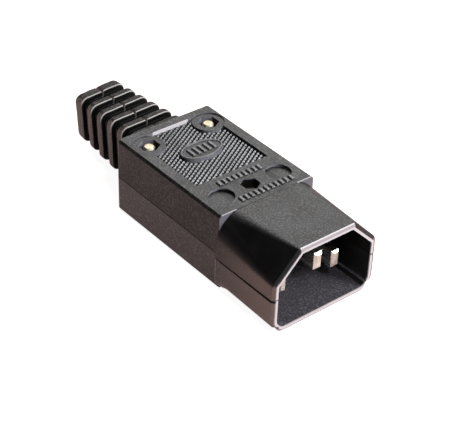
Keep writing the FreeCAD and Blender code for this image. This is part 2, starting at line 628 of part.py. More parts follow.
def earth_pin():
    pin = Piece("earth_pin")
    half, inner, outer, turn, heel = earth_points("0")
    tip = "shroud_length - earth_setback"
    end = f"{EARTH_BARREL_FRONT} - earth_overlap"
    plan = pin.sketch("blade", "XY", f"{EARTH_LEVEL} - pin_height / 2")
    outline(plan, [(tip, f"-{half}"), (tip, half), (turn, half), (turn, outer), (end, outer), (end, inner),
                   (heel, inner), (heel, f"-{half}")])
    pin.extrude("blade", plan, "pin_height")
    bevel_tip(pin, "earth_setback")
    terminal(pin, EARTH_BARREL_FRONT, "0", EARTH_LEVEL)


def screw(name, x, y, seat, upwards, radius, length, head_radius, head_height):
    """A slotted screw: the head lies on its seat and the shank runs the way given."""
    item = Piece(name)
    shank = (f"({seat})", f"({seat} + {length})") if upwards else (f"({seat} - {length})", f"({seat})")
    head = (f"({seat} - {head_height})", f"({seat})") if upwards else (f"({seat})", f"({seat} + {head_height})")
    item.post("head", x, y, head, head_radius)
    top = head[0] if upwards else head[1]
    slot = f"{head_height} * slot_share"
    slot_z = (top, f"({top} + {slot})") if upwards else (f"({top} - {slot})", top)
    item.block("slot", (f"({x} - slot_width / 2)", f"({x} + slot_width / 2)"),
               (f"({y} - {head_radius})", f"({y} + {head_radius})"), slot_z, cut=True)
    item.post("shank", x, y, shank, radius)


def nut(name, x, y, seat, height, across, radius):
    item = Piece(name)
    z = (f"({seat})", f"({seat} + {height})")
    item.hexagon("body", x, y, z, across)
    item.post("bore", x, y, z, f"{radius} + thread_gap", cut=True)


def fasteners():
    for side, sign in SIDES:
        spot = ("(-rear_screw_back)", f"({sign} * rear_screw_side)")
        seat = "body_height - rear_pocket_depth"
        screw(f"rear_{side}_screw", *spot, "head_recess", True, "rear_screw_radius",
              "(body_height - rear_end_depth - head_recess)", "head_radius", "head_height")
        nut(f"rear_{side}_nut", *spot, seat, "rear_nut_height", "rear_nut_across", "rear_screw_radius")
    spot = ("(-front_screw_back)", "0")
    seat = "body_height - front_pocket_depth"
    screw("front_screw", *spot, "head_recess", True, "front_screw_radius",
          f"({seat} + front_nut_height - head_recess)", "head_radius", "head_height")
    nut("front_nut", *spot, seat, "front_nut_height", "front_nut_across", "front_screw_radius")


def terminal_screws():
    for name, front, middle, level in (("line", LIVE_BARREL_FRONT, "(pin_pitch / 2)", LIVE_LEVEL),
                                       ("neutral", LIVE_BARREL_FRONT, "(-pin_pitch / 2)", LIVE_LEVEL),
                                       ("earth", EARTH_BARREL_FRONT, "0", EARTH_LEVEL)):
        screw(f"{name}_terminal_screw", f"({front} - barrel_length / 2)", middle, f"{level} + barrel_height / 2",
              False, "terminal_screw_radius", "terminal_screw_length", "terminal_head_radius",
              "terminal_head_height")


def cord_clamp():
    """The bar that holds the cord down on its saddle, arched over the middle."""
    clamp = Piece("cord_clamp")
    item = clamp.sketch("bar", "YZ", "-clamp_back - clamp_length / 2")
    half, crown = "clamp_width / 2", "clamp_crown_width / 2"
    low, ear, top = "parting_height", "parting_height + clamp_ear", "parting_height + clamp_crown"
    outline(item, [(f"-{half}", low), (half, low), (half, ear), (crown, ear), (f"{crown} - clamp_ear / 2", top),
                   (f"clamp_ear / 2 - {crown}", top), (f"-{crown}", ear), (f"-{half}", ear)])
    clamp.extrude("bar", item, "clamp_length")
    clamp.rod("arch", ("(-clamp_back - clamp_length / 2)", "(-clamp_back + clamp_length / 2)"), "0", "boot_axis",
              "cord_radius + fit_gap", cut=True)
    for side, sign in SIDES:
        clamp.post(f"{side}_hole", "(-clamp_back)", f"({sign} * clamp_screw_side)", (low, f"({ear})"),
                   "clamp_screw_radius + hole_gap", cut=True)
    for side, sign in SIDES:
        screw(f"{side}_clamp_screw", "(-clamp_back)", f"({sign} * clamp_screw_side)", ear, False,
              "clamp_screw_radius", "clamp_screw_length", "clamp_head_radius", "clamp_head_height")


upper_shell()
lower_shell()
cord_boot()
contact_block()
live_pin("line_pin", 1)
live_pin("neutral_pin", -1)
earth_pin()
fasteners()
terminal_screws()
cord_clamp()

doc.recompute()
for item in doc.Objects:
    if "Invalid" in item.State or "Error" in item.State:
        raise RuntimeError(f"{item.Name} failed: {item.State}")
os.makedirs("parts", exist_ok=True)
for piece in Piece.made:
    shape = piece.body.Shape
    if shape.isNull() or not shape.isValid() or len(shape.Solids) != 1:
        raise RuntimeError(f"{piece.name} is not one valid solid")
    shape.exportStep(f"parts/{piece.name}.step")
    box = shape.BoundBox
    print(f"{piece.name}: {shape.Volume:.1f} mm3, {box.XLength:.2f} x {box.YLength:.2f} x {box.ZLength:.2f} mm")
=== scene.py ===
# %% [markdown]
# # A rewireable power plug
#
# This lesson dresses a plug that was modelled as solids: a black two-part housing, a hood round flat
# pins, brass screws and a ribbed rubber boot. The solids carry the true sizes, so they come first and
# are never moved. Everything made here is laid on them, in metres, in the same frame: x runs along the
# plug towards the mouth, y across it and z up from the surface it lies on.

import math

import bmesh
import bpy
from mathutils import Matrix, Vector, noise


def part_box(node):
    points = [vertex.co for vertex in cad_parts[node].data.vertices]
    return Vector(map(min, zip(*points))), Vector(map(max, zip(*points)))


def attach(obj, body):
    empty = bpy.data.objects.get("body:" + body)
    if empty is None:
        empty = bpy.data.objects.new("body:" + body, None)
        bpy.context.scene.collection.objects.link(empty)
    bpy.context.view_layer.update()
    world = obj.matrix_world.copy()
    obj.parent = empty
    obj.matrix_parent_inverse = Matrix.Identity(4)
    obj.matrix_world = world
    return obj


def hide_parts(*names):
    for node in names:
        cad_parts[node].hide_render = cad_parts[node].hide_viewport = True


MM = 0.001
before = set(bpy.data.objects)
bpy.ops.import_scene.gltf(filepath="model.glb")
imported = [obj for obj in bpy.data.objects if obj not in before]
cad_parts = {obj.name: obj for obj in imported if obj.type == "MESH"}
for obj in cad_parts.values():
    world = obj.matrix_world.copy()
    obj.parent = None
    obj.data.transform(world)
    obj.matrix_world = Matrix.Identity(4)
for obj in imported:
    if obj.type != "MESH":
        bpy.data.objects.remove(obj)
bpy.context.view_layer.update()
scene = bpy.context.scene

# %% [markdown]
# The plug's main levels are read from the solids rather than written down again. The housing's front
# face lies where the hood begins. Its distance from the mouth is a real size that no box of a node
# shows, so it is one of the few numbers that are repeated here.

# %% Find the plug's main levels
HOOD_LENGTH = 18.3 * MM
BODY_HEIGHT = 17.9 * MM
PANEL_SETBACK, PANEL_LENGTH, PANEL_HALF, PANEL_DEPTH = 11.2 * MM, 21.2 * MM, 9.45 * MM, 1.1 * MM

shell_low, shell_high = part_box("upper_shell")
FRONT = shell_high.x - HOOD_LENGTH
MOUTH = shell_high.x
REAR = shell_low.x
TOP = BODY_HEIGHT
PANEL_FRONT = FRONT - PANEL_SETBACK
PANEL_REAR = PANEL_FRONT - PANEL_LENGTH
PANEL_FLOOR = TOP - PANEL_DEPTH
print("housing from", round(REAR / MM, 1), "to", round(FRONT / MM, 1), "mm")
print("mouth at", round(MOUTH / MM, 1), "mm")

# %% [markdown]
# The camera stands where the photographer stood, to the plug's front right and well above it. Its place
# follows from a fit of the housing's corners, so it is written as a point, a direction and a small roll.
# The lens is long, as in most product pictures, which keeps the sides nearly parallel.

# %% Set up the camera
CAMERA_PLACE = Vector((195.05, -157.25, 180.31)) * MM
CAMERA_AZIMUTH, CAMERA_ELEVATION, CAMERA_ROLL = 49.39, 35.68, 2.55
LENS, SHIFT, NEAREST, FARTHEST = 110.13, (-0.0074, 0.0019), 0.01, 10.0


def camera_turn(azimuth, elevation, roll):
    """The camera's rotation, looking back along its own direction from the object."""
    a, e = math.radians(azimuth), math.radians(elevation)
    back = Vector((math.sin(a) * math.cos(e), -math.cos(a) * math.cos(e), math.sin(e)))
    level = (-back).to_track_quat("-Z", "Y").to_matrix()
    return (level @ Matrix.Rotation(math.radians(roll), 3, "Z")).to_euler()


lens = bpy.data.cameras.new("camera")
lens.lens = LENS
lens.shift_x, lens.shift_y = SHIFT
lens.clip_start, lens.clip_end = NEAREST, FARTHEST
camera = bpy.data.objects.new("camera", lens)
camera.location = CAMERA_PLACE
camera.rotation_euler = camera_turn(CAMERA_AZIMUTH, CAMERA_ELEVATION, CAMERA_ROLL)
scene.collection.objects.link(camera)
scene.camera = camera
print("the camera stands", round(CAMERA_PLACE.length / MM), "mm from the plug")

# %% [markdown]
# A picture of a product has a white ground and soft light. The ground here is a sheet of pale paper that
# keeps the plug's shadow. More light could make it white, but would bleach the plug too, so a glow of the
# paper's own lifts it instead. What the plug mirrors of it glows less, because the paper beside a black
# thing lies in its shade. The world is plain for the light on the plug, and white where it is seen.

# %% Helpers for nodes and materials
def fill(socket, value):
    """Give a node's input a value, or link another node's output to it."""
    if isinstance(value, bpy.types.NodeSocket):
        socket.id_data.links.new(value, socket)
    elif socket.type == "RGBA":
        socket.default_value = (*value, 1.0)
    else:
        socket.default_value = value


def new_node(tree, kind, **inputs):
    """A new node with its named inputs filled."""
    node = tree.nodes.new(kind)
    for title, value in inputs.items():
        fill(node.inputs[title.replace("_", " ")], value)
    return node


def new_material(name):
    """A node material with nothing but its output."""
    material = bpy.data.materials.new(name)
    material.use_nodes = True
    material.node_tree.nodes.clear()
    new_node(material.node_tree, "ShaderNodeOutputMaterial")
    return material


def cover(material, shader):
    """Let a shader's output be the surface of a material."""
    fill(material.node_tree.nodes["Material Output"].inputs["Surface"], shader)


def maths(operation, *values):
    """A sum of one or two values, each a number or another node's output, in that node's tree."""
    tree = next(value.id_data for value in values if isinstance(value, bpy.types.NodeSocket))
    node = tree.nodes.new("ShaderNodeMath")
    node.operation = operation
    for socket, value in zip(node.inputs, values):
        fill(socket, value)
    return node.outputs[0]


def larger(first, second):
    """The larger of two values."""
    return maths("MAXIMUM", first, second)


def minus(first, second):
    """One value less another."""
    return maths("SUBTRACT", first, second)


def times(first, second):
    """Two values multiplied."""
    return maths("MULTIPLY", first, second)


# %% Build the ground and the world
FLOOR_SIZE, FLOOR_DROP, WORLD_LEVEL = 12.0, 0.02 * MM, 0.3
WHITE, FLOOR_COLOUR = (1.0, 1.0, 1.0), (0.62, 0.5, 0.48)
FLOOR_GLOWS = [  # colour, and the kinds of ray that meet it
    ((0.92, 0.92, 0.92), ["Is Camera Ray"]),
    ((0.5, 0.36, 0.36), ["Is Glossy Ray", "Is Transmission Ray"]),
]


def kind_of_ray(tree, *titles):
    """1 for the named kinds of ray, such as straight, mirrored or through glass."""
    path = new_node(tree, "ShaderNodeLightPath")
    result = path.outputs[titles[0]]
    for title in titles[1:]:
        result = larger(result, path.outputs[title])
    return result


def white_world():
    """A plain world that lights the plug, and a white one where it is seen, mirrored or shines through."""
    world = bpy.data.worlds.new("studio")
    world.use_nodes = True
    tree = world.node_tree
    tree.nodes.clear()
    plain = new_node(tree, "ShaderNodeBackground", Strength=WORLD_LEVEL)
    white = new_node(tree, "ShaderNodeBackground", Color=WHITE, Strength=1.0)
    seen = kind_of_ray(tree, "Is Camera Ray", "Is Glossy Ray", "Is Transmission Ray")
    mix = new_node(tree, "ShaderNodeMixShader", Fac=seen)
    fill(mix.inputs[1], plain.outputs[0])
    fill(mix.inputs[2], white.outputs[0])
    new_node(tree, "ShaderNodeOutputWorld", Surface=mix.outputs[0])
    scene.world = world


def matt_sheet(name, width, height, colour, glows=()):
    """A flat matt sheet. Each glow is a colour and the kinds of ray that meet it."""
    mesh = bpy.data.meshes.new(name)
    w, h = width / 2, height / 2
    mesh.from_pydata([(-w, -h, 0), (w, -h, 0), (w, h, 0), (-w, h, 0)], [], [(0, 1, 2, 3)])
    sheet = bpy.data.objects.new(name, mesh)
    scene.collection.objects.link(sheet)
    material = new_material(name + " paper")
    tree = material.node_tree
    surface = new_node(tree, "ShaderNodeBsdfDiffuse", Color=colour).outputs[0]
    for light, kinds in glows:
        glow = new_node(tree, "ShaderNodeEmission", Color=light, Strength=kind_of_ray(tree, *kinds))
        both = new_node(tree, "ShaderNodeAddShader")
        fill(both.inputs[0], surface)
        fill(both.inputs[1], glow.outputs[0])
        surface = both.outputs[0]
    cover(material, surface)
    mesh.materials.append(material)
    return sheet


white_world()
floor = matt_sheet("floor", FLOOR_SIZE, FLOOR_SIZE, FLOOR_COLOUR, FLOOR_GLOWS)
floor.location.z = -FLOOR_DROP
scene.view_settings.view_transform = "Standard"
print("white ground,", FLOOR_SIZE, "m across")

# %% [markdown]
# A black plug shows almost nothing but reflections, so each lamp stands where some face mirrors it. The
# large soft one behind is for the top. The small one in front strikes one side of each point of the
# knurl. One ahead on the left draws the raised edges, and the low one lights what looks out of the mouth,
# such as the ends of the pins. Dark faces need something dark to mirror: a black card on the near side
# is for the sloping faces, and one on the far side for the other side of the knurl's points.

# %% Place the lamps and the black cards
AIM = Vector((0.0, 0.0, 9.0)) * MM
LAMPS = [  # name, direction, distance and size in metres, watts, colour
    ("back_lamp", (-0.617, 0.529, 0.75), 0.9, 0.7, 4.6, WHITE),
    ("front_lamp", (0.57, -0.17, 0.78), 0.8, 0.13, 1.35, (0.95, 0.96, 1.0)),
    ("edge_lamp", (0.5, 0.53, 0.65), 0.8, 0.25, 1.6, WHITE),
    ("low_lamp", (0.8, 0.58, 0.45), 0.7, 0.16, 3.6, WHITE),
]
CARDS = [  # name, direction, distance, width and height in metres
    ("near_card", (-0.617, -0.583, 0.42), 0.35, 0.8, 0.55),
    ("far_card", (0.108, 0.957, 0.2), 0.35, 0.4, 0.25),
]
CARD_COLOUR = (0.01, 0.01, 0.01)


def stand_off(thing, direction, distance):
    """Put a thing at a distance from the plug, facing it, where the camera doesn't see it."""
    towards = Vector(direction).normalized()
    thing.location = AIM + towards * distance
    thing.rotation_euler = (-towards).to_track_quat("-Z", "Y").to_euler()
    thing.visible_camera = False


for name, direction, distance, size, watts, colour in LAMPS:
    light = bpy.data.lights.new(name, "AREA")
    light.shape = "SQUARE"
    light.size = size
    light.energy = watts
    light.color = colour
    lamp = bpy.data.objects.new(name, light)
    scene.collection.objects.link(lamp)
    stand_off(lamp, direction, distance)
for name, direction, distance, width, height in CARDS:
    card = matt_sheet(name, width, height, CARD_COLOUR)
    stand_off(card, direction, distance)
print(len(LAMPS), "lamps and", len(CARDS), "black cards")

# %% [markdown]
# Moulded plastic is never quite smooth. The mould is spark-eroded, which leaves a fine even grain, and
# handling leaves faint patches that are a little duller or shinier. Both effects appear on every plastic
# and rubber piece, so they are one node group that is built once. The group hands on only masks and a
# height, and the shader itself stays in the material.

# %% Helpers for masks
def value_range(source, low, high, start=0.3, stop=0.7):
    """Spread a mask between two values."""
    spread = new_node(source.id_data, "ShaderNodeMapRange", Value=source, From_Min=start, From_Max=stop,
                      To_Min=low, To_Max=high)
    spread.interpolation_type = "SMOOTHSTEP"
    return spread.outputs["Result"]


def rise(value, start, stop):
    """0 below the start, 1 above the stop, and soft between them."""
    return value_range(value, 0.0, 1.0, start, stop)


def fall(value, start, stop):
    """1 below the start, 0 above the stop, and soft between them."""
    return value_range(value, 1.0, 0.0, start, stop)


def all_of(*masks):
    """1 only where every mask is 1."""
    result = masks[0]
    for mask in masks[1:]:
        result = times(result, mask)
    return result


def between(value, low, high, soft):
    """1 where the value lies between two levels, with soft ends."""
    above = rise(value, low - soft, low + soft)
    return times(above, fall(value, high - soft, high + soft))


def put_out(group, masks):
    """Give a node group an output for each named mask."""
    for title in masks:
        group.interface.new_socket(name=title, in_out="OUTPUT", socket_type="NodeSocketFloat")
    result = new_node(group, "NodeGroupOutput")
    for title, mask in masks.items():
        fill(result.inputs[title], mask)
    return group


# %% Build the mould's grain
PIT_SCALE, PATCH_SCALE, SPECK_SHARE = 6000.0, 160.0, 0.8


def soft_noise(place, scale, detail):
    """Noise over a place, from 0 to 1."""
    noisy = new_node(place.id_data, "ShaderNodeTexNoise", Vector=place, Scale=scale, Detail=detail)
    return noisy.outputs["Fac"]


def mould_grain():
    """Fine pits all over: a height for the bump, pale specks, and the patches left by handling."""
    group = bpy.data.node_groups.new("mould grain", "ShaderNodeTree")
    for title, value in (("Pit Scale", PIT_SCALE), ("Patch Scale", PATCH_SCALE)):
        socket = group.interface.new_socket(name=title, in_out="INPUT", socket_type="NodeSocketFloat")
        socket.default_value = value
    pit_scale, patch_scale = new_node(group, "NodeGroupInput").outputs[:2]
    place = new_node(group, "ShaderNodeTexCoord").outputs["Object"]
    speck_scale = times(pit_scale, SPECK_SHARE)
    return put_out(group, {"Height": soft_noise(place, pit_scale, 2.0),
                           "Specks": soft_noise(place, speck_scale, 1.0),
                           "Patches": soft_noise(place, patch_scale, 3.0)})


GRAIN = mould_grain()
print("node group:", GRAIN.name)

# %% [markdown]
# The housing's colour changes from place to place, and most of that is painted light and shade. The
# bevel round the mouth, the edges beside the hood, the panel's back wall and the front corners get painted
# highlights, and the faces that look forward and the hood's sides are painted lighter. The hollows, the
# sloping faces beside the hood and the gap at its root get painted shade. The floor of the mouth keeps a
# colour of its own with paler specks. All of that could be painted on an unwrapped mesh. Here each part is
# found by where it lies and which way it faces, which needs no picture and stays right if the mesh
# changes. Boxes with soft ends find most parts. The rim needs the distance from the mouth's outline, with
# its rounded lower corners.

# %% Find the places of painted highlights and painted shade
MOUTH_HALF, MOUTH_FLOOR, MOUTH_ROOF, MOUTH_SLOPE = 12.2 * MM, 1.2 * MM, 17.5 * MM, 24.0 * MM
PARTING, SHOULDER = 8.8 * MM, 7.0 * MM
CORNER_ROUND, HOOD_WALL = 3.7 * MM, 1.25 * MM
HAIR, HALF_HAIR = 0.1 * MM, 0.05 * MM
RIM_LINE, RIM_BAND = (-HAIR, 0.55 * MM, HAIR), (0.5 * MM, 1.0 * MM, HAIR)
RIM_EDGE = (1.0 * MM, 1.4 * MM, HALF_HAIR)
# Boxes for painted light and shade on the housing: painted highlights along the top's front edge and the
# hood's root, painted shade in the gap at the root, and painted light on the panel's back wall and the
# front corners.
ZONES = {  # the low end, the high end and the softness along x, across y on both sides, and up z
    "top highlight line": ((FRONT - 0.18 * MM, FRONT + HAIR, HALF_HAIR), (8.0 * MM, 11.7 * MM, 0.2 * MM),
                 (TOP - HAIR, TOP + 0.2 * MM, 0.03 * MM)),
    "root highlight line": ((FRONT - HAIR, FRONT + 0.22 * MM, HALF_HAIR), (12.8 * MM, 14.0 * MM, HALF_HAIR),
                  (-1.0 * MM, 8.0 * MM, 0.2 * MM)),
    "shaded_gap": ((FRONT - 0.35 * MM, FRONT + HAIR, 0.06 * MM), (12.1 * MM, 14.0 * MM, HALF_HAIR),
            (PARTING, 14.6 * MM, 0.15 * MM)),
    "lit panel wall": ((PANEL_REAR - 0.12 * MM, PANEL_REAR + 0.12 * MM, 0.03 * MM),
                   (-1.0 * MM, 4.7 * MM, 0.2 * MM), (PANEL_FLOOR + 0.25 * MM, TOP + HAIR, HAIR)),
    "lit front corner": ((FRONT - HAIR, FRONT + HALF_HAIR, 0.02 * MM), (9.0 * MM, 14.0 * MM, HAIR),
                     (14.6 * MM, TOP + HAIR, 0.2 * MM)),
}
ROOT_HIGHLIGHT_SHARE, HOLLOW_REACH = 0.35, 8.0 * MM


def mask_group(name):
    """A new node group, with the place and the direction of a surface in it as six numbers."""
    group = bpy.data.node_groups.new(name, "ShaderNodeTree")
    surface = new_node(group, "ShaderNodeNewGeometry").outputs
    numbers = [new_node(group, "ShaderNodeSeparateXYZ", Vector=surface[title]).outputs
               for title in ("Position", "Normal")]
    return group, *numbers[0], *numbers[1]


def zone(title, place):
    """1 inside one of the boxes above."""
    return all_of(*[between(value, *limits) for value, limits in zip(place, ZONES[title])])


def beyond_mouth(y, z):
    """How far a point lies outside the mouth's outline, and how far beyond its sloping corner."""
    corner = CORNER_ROUND - HOOD_WALL
    aside = larger(minus(y, MOUTH_HALF - corner), 0.0)
    below = larger(minus(MOUTH_FLOOR + corner, z), 0.0)
    squares = maths("ADD", times(aside, aside), times(below, below))
    outward = minus(maths("SQRT", squares), corner)
    outward = larger(outward, minus(z, MOUTH_ROOF))
    slope = times(minus(maths("ADD", y, z), MOUTH_SLOPE), math.sqrt(0.5))
    return larger(outward, slope), slope


def rim_masks(x, y, z, outward):
    """The painted highlight round the mouth: a line, its second edge above and below, and the band
    between.
    """
    above = times(rise(z, MOUTH_ROOF, MOUTH_ROOF + HAIR), fall(y, SHOULDER - HAIR, SHOULDER + HAIR))
    level = larger(fall(z, MOUTH_FLOOR, MOUTH_FLOOR + HAIR), above)
    bevel = times(rise(x, MOUTH - 0.5 * MM, MOUTH - 0.4 * MM), level)
    tip = rise(x, MOUTH - 0.35 * MM, MOUTH - 0.15 * MM)
    line = times(tip, between(outward, *RIM_LINE))
    edge = times(bevel, between(outward, *RIM_EDGE))
    seam = times(between(z, PARTING - HAIR, PARTING + 0.2 * MM, HALF_HAIR),
                 rise(y, MOUTH_HALF - 1.0 * MM, MOUTH_HALF - 0.5 * MM))
    rim = times(minus(1.0, seam), larger(line, edge))
    return {"Rim Highlight": rim, "Band Highlight": times(bevel, between(outward, *RIM_BAND))}


# %% Mark the hollow of the mouth and the faces by their direction, for painted light and shade
def mouth_masks(x, y, z, ahead, up, slope):
    """Painted shade in the mouth and on the slopes, the floor, and painted light on forward faces and
    sides.
    """
    # Painted shade: the walls and roof inside the mouth are painted black; the floor is left out.
    inside = all_of(fall(minus(y, MOUTH_HALF), 0.02 * MM, HAIR),
                    between(z, MOUTH_FLOOR - HAIR, MOUTH_ROOF + HALF_HAIR, HALF_HAIR),
                    fall(slope, 0.02 * MM, HAIR),
                    between(x, FRONT - HOLLOW_REACH, MOUTH - 0.3 * MM, HAIR))
    floor_part = all_of(inside, rise(up, 0.8, 0.95), fall(z, 3.0 * MM, 3.5 * MM))
    outer = minus(1.0, inside)
    upright = fall(maths("ABSOLUTE", up), 0.1, 0.4)
    # Painted shade: the sloping faces beside the hood are painted black, as a painted dark reflection.
    smooth = all_of(between(up, 0.3, 0.9, 0.1), outer, rise(x, FRONT - HALF_HAIR, FRONT + HAIR))
    # Painted light: faces on the top that look forward are painted lighter.
    lit_forward = all_of(rise(ahead, 0.3, 0.95), upright, fall(x, FRONT - 2.0 * MM, FRONT - 1.0 * MM),
                     rise(z, PANEL_FLOOR - 1.5 * MM, PANEL_FLOOR))
    # Painted light: the upright sides of the hood are painted lighter.
    lit_hood_side = all_of(rise(x, FRONT - 6.0 * MM, MOUTH), upright, outer,
                   rise(y, MOUTH_HALF + HAIR, MOUTH_HALF + 0.2 * MM))
    return {"Floor": floor_part, "Shaded Cavity": minus(inside, floor_part), "Smooth": smooth,
            "Lit Forward": lit_forward, "Lit Hood Side": lit_hood_side}


def housing_edges():
    """All the masks of the housing in one group: painted light and shade, and the mouth's floor."""
    group, x, y, z, ahead, _, up = mask_group("housing edges")
    y = maths("ABSOLUTE", y)
    outward, slope = beyond_mouth(y, z)
    # The zones give painted highlights, painted shade and painted light, in the order of the boxes above.
    top_highlight, root_highlight, shaded_gap, lit_wall, corner = [zone(title, (x, y, z)) for title in ZONES]
    # Painted highlight: a pale line along the top's front edge, and a fainter one down the hood's root.
    highlit_edges = larger(top_highlight, times(root_highlight, ROOT_HIGHLIGHT_SHARE))
    return put_out(group, {"Edge Highlight": highlit_edges, "Shaded Gap": shaded_gap, "Lit Wall": lit_wall, "Lit Corner": corner,
                           **rim_masks(x, y, z, outward), **mouth_masks(x, y, z, ahead, up, slope)})


EDGES = housing_edges()
print("node group:", EDGES.name, "with", len(EDGES.interface.items_tree), "masks")

# %% [markdown]
# The boot's ribs get painted light on their flanks, painted shade in the gaps between them and on the
# faces that look forward, and a thin painted highlight along the front edge of each top. A mask can
# follow the ribs because they repeat: the distance along the boot, divided by the pitch of the ribs, has
# the same fraction at the same place of each rib.

# %% Mark the ribs of the boot
boot_low, boot_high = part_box("cord_boot")
END_RIB, RIB, GROOVE, GROOVE_DEPTH = 3.2 * MM, 2.0 * MM, 2.19 * MM, 1.3 * MM
RIB_PITCH, RIB_EDGE_BACK = RIB + GROOVE, 0.19 * MM


def from_nearest(value, start, pitch):
    """How far a value is from the nearest of a row of marks, as a share of their pitch."""
    turns = maths("DIVIDE", minus(value, start), pitch)
    return maths("ABSOLUTE", minus(turns, maths("ROUND", turns)))


def rib_edges():
    """Boot masks: a painted highlight per rib, painted shade between ribs, lit flanks, and the tops."""
    group, x, _, z, ahead, aside, _ = mask_group("rib edges")
    near = from_nearest(x, boot_low.x + END_RIB - RIB_EDGE_BACK, RIB_PITCH)
    outside = fall(x, REAR - 2.0 * MM, REAR - 1.9 * MM)
    # Painted highlight: a thin pale line along the front edge of each rib's top.
    line = all_of(fall(near, 0.01, 0.035), rise(z, 12.0 * MM, 13.6 * MM), outside)
    past = maths("DIVIDE", minus(x, boot_low.x + END_RIB), RIB_PITCH)
    past = minus(past, maths("FLOOR", past))
    # Painted shade: the grooves between the ribs and the faces that look forward are painted black.
    shaded_gap = larger(between(past, 0.02, GROOVE / RIB_PITCH - 0.01, 0.02), rise(ahead, 0.6, 0.9))
    behind_first = rise(x, boot_low.x + END_RIB - 0.2 * MM, boot_low.x + END_RIB)
    # Painted light: the flanks of the ribs are painted lighter than their tops.
    lit_flank = rise(maths("ABSOLUTE", aside), 0.4, 0.8)
    return put_out(group, {"Side": lit_flank, "Shaded Gap": all_of(shaded_gap, behind_first, outside), "Rib Highlight": line,
                           "Top": minus(1.0, lit_flank)})


RIB_EDGES = rib_edges()
print("node group:", RIB_EDGES.name)

# %% [markdown]
# The knurl in the sunk panel is made of small points, further down. Dirt lies in one family of its
# grooves and makes them dull, so that they stay black between the bright rows of points. The mask is a
# set of stripes across the plug at the knurl's own pitch and angle.

# %% Mark the grooves of the knurl
KNURL_PITCH, KNURL_ANGLE = 0.875 * MM, 30.5
PANEL_MIDDLE = Vector(((PANEL_FRONT + PANEL_REAR) / 2, 0.0, 0.0))


def knurl_grooves():
    """A mask for the dull dirt along one family of the knurl's grooves."""
    group, x, y, *_ = mask_group("knurl grooves")
    a = math.radians(KNURL_ANGLE)
    across = maths("ADD", times(x, math.cos(a)), times(y, math.sin(a)))
    near = from_nearest(across, PANEL_MIDDLE.x * math.cos(a), KNURL_PITCH)
    return put_out(group, {"Groove": rise(near, 0.2, 0.32)})


GROOVES = knurl_grooves()
print("node group:", GROOVES.name)

# %% [markdown]
# The housing is hard black plastic with a fine grain. Its lower half is painted lighter than the upper
# one, as painted light for the light its sides catch. The boot is softer and duller, with a coarser skin.
# The contact block inside the mouth is smoother than the housing. One recipe serves them all: a dark
# colour with patches, pale specks, a coat that shines only on the specks, and tints laid over it by the
# masks above, each in its turn, most of them painted light and shade.

# %% Write the recipe for plastic and rubber
SPECK_RANGE, SHEEN_RANGE, COAT_ROUGHNESS = (0.48, 0.72), (0.4, 0.7), 0.4


def blend_colours(mask, first, second):
    """One colour where the mask is 0 and another where it is 1. Each is a colour or an output."""
    mix = mask.id_data.nodes.new("ShaderNodeMix")
    mix.data_type = "RGBA"
    for title, value in (("Factor", mask), ("A", first), ("B", second)):
        fill(mix.inputs[title], value)
    return mix.outputs["Result"]


def placed(tree, group):
    """A node group in a material."""
    node = tree.nodes.new("ShaderNodeGroup")
    node.node_tree = group
    return node


def bump(height, depth, strength=1.0):
    """A normal that follows a height."""
    node = new_node(height.id_data, "ShaderNodeBump", Strength=strength, Distance=depth, Height=height)
    return node.outputs["Normal"]


def tinted(colour, specks, tarnish_and_painted_light, tints):
    """Lay tints over a colour by their masks. A title that ends in Specks means only the specks there."""
    for title, tint in tints.items():
        if title == "Specks":
            mask = specks
        elif title.endswith(" Specks"):
            mask = times(tarnish_and_painted_light.outputs[title.removesuffix(" Specks")], specks)
        else:
            mask = tarnish_and_painted_light.outputs[title]
        colour = blend_colours(mask, colour, tint)
    return colour


def moulded(name, dark, light, roughness, pit_scale, pit_depth, speck=(0.03, 0.027, 0.026), gloss=0.3,
            coat=0.1, painted_light_masks=None, tints=None, dull=(), grime=None):
    """A moulded finish: grain, paler specks with a faint sheen, patchy gloss, and painted light and shade.
    """
    material = new_material(name)
    tree = material.node_tree
    grain = placed(tree, GRAIN)
    grain.inputs["Pit Scale"].default_value = pit_scale
    patches, mottle = grain.outputs["Patches"], grain.outputs["Specks"]
    specks = rise(mottle, *SPECK_RANGE)
    colour = blend_colours(value_range(patches, 0.0, 1.0), dark, light)
    colour = blend_colours(specks, colour, speck)
    sheen = value_range(mottle, 0.0, coat, *SHEEN_RANGE)
    # The masks lay painted light and shade over the colour, and take the sheen off where they say.
    if painted_light_masks:
        tarnish_and_painted_light = placed(tree, painted_light_masks)
        colour = tinted(colour, specks, tarnish_and_painted_light, tints)
        for title in dull:
            sheen = times(sheen, minus(1.0, tarnish_and_painted_light.outputs[title]))
    spread = value_range(patches, *roughness)
    if grime:
        spread = larger(spread, placed(tree, grime).outputs["Groove"])
    shader = new_node(tree, "ShaderNodeBsdfPrincipled", Base_Color=colour, Roughness=spread,
                      Specular_IOR_Level=gloss, Coat_Weight=sheen, Coat_Roughness=COAT_ROUGHNESS,
                      Normal=bump(grain.outputs["Height"], pit_depth))
    cover(material, shader.outputs[0])
    return material


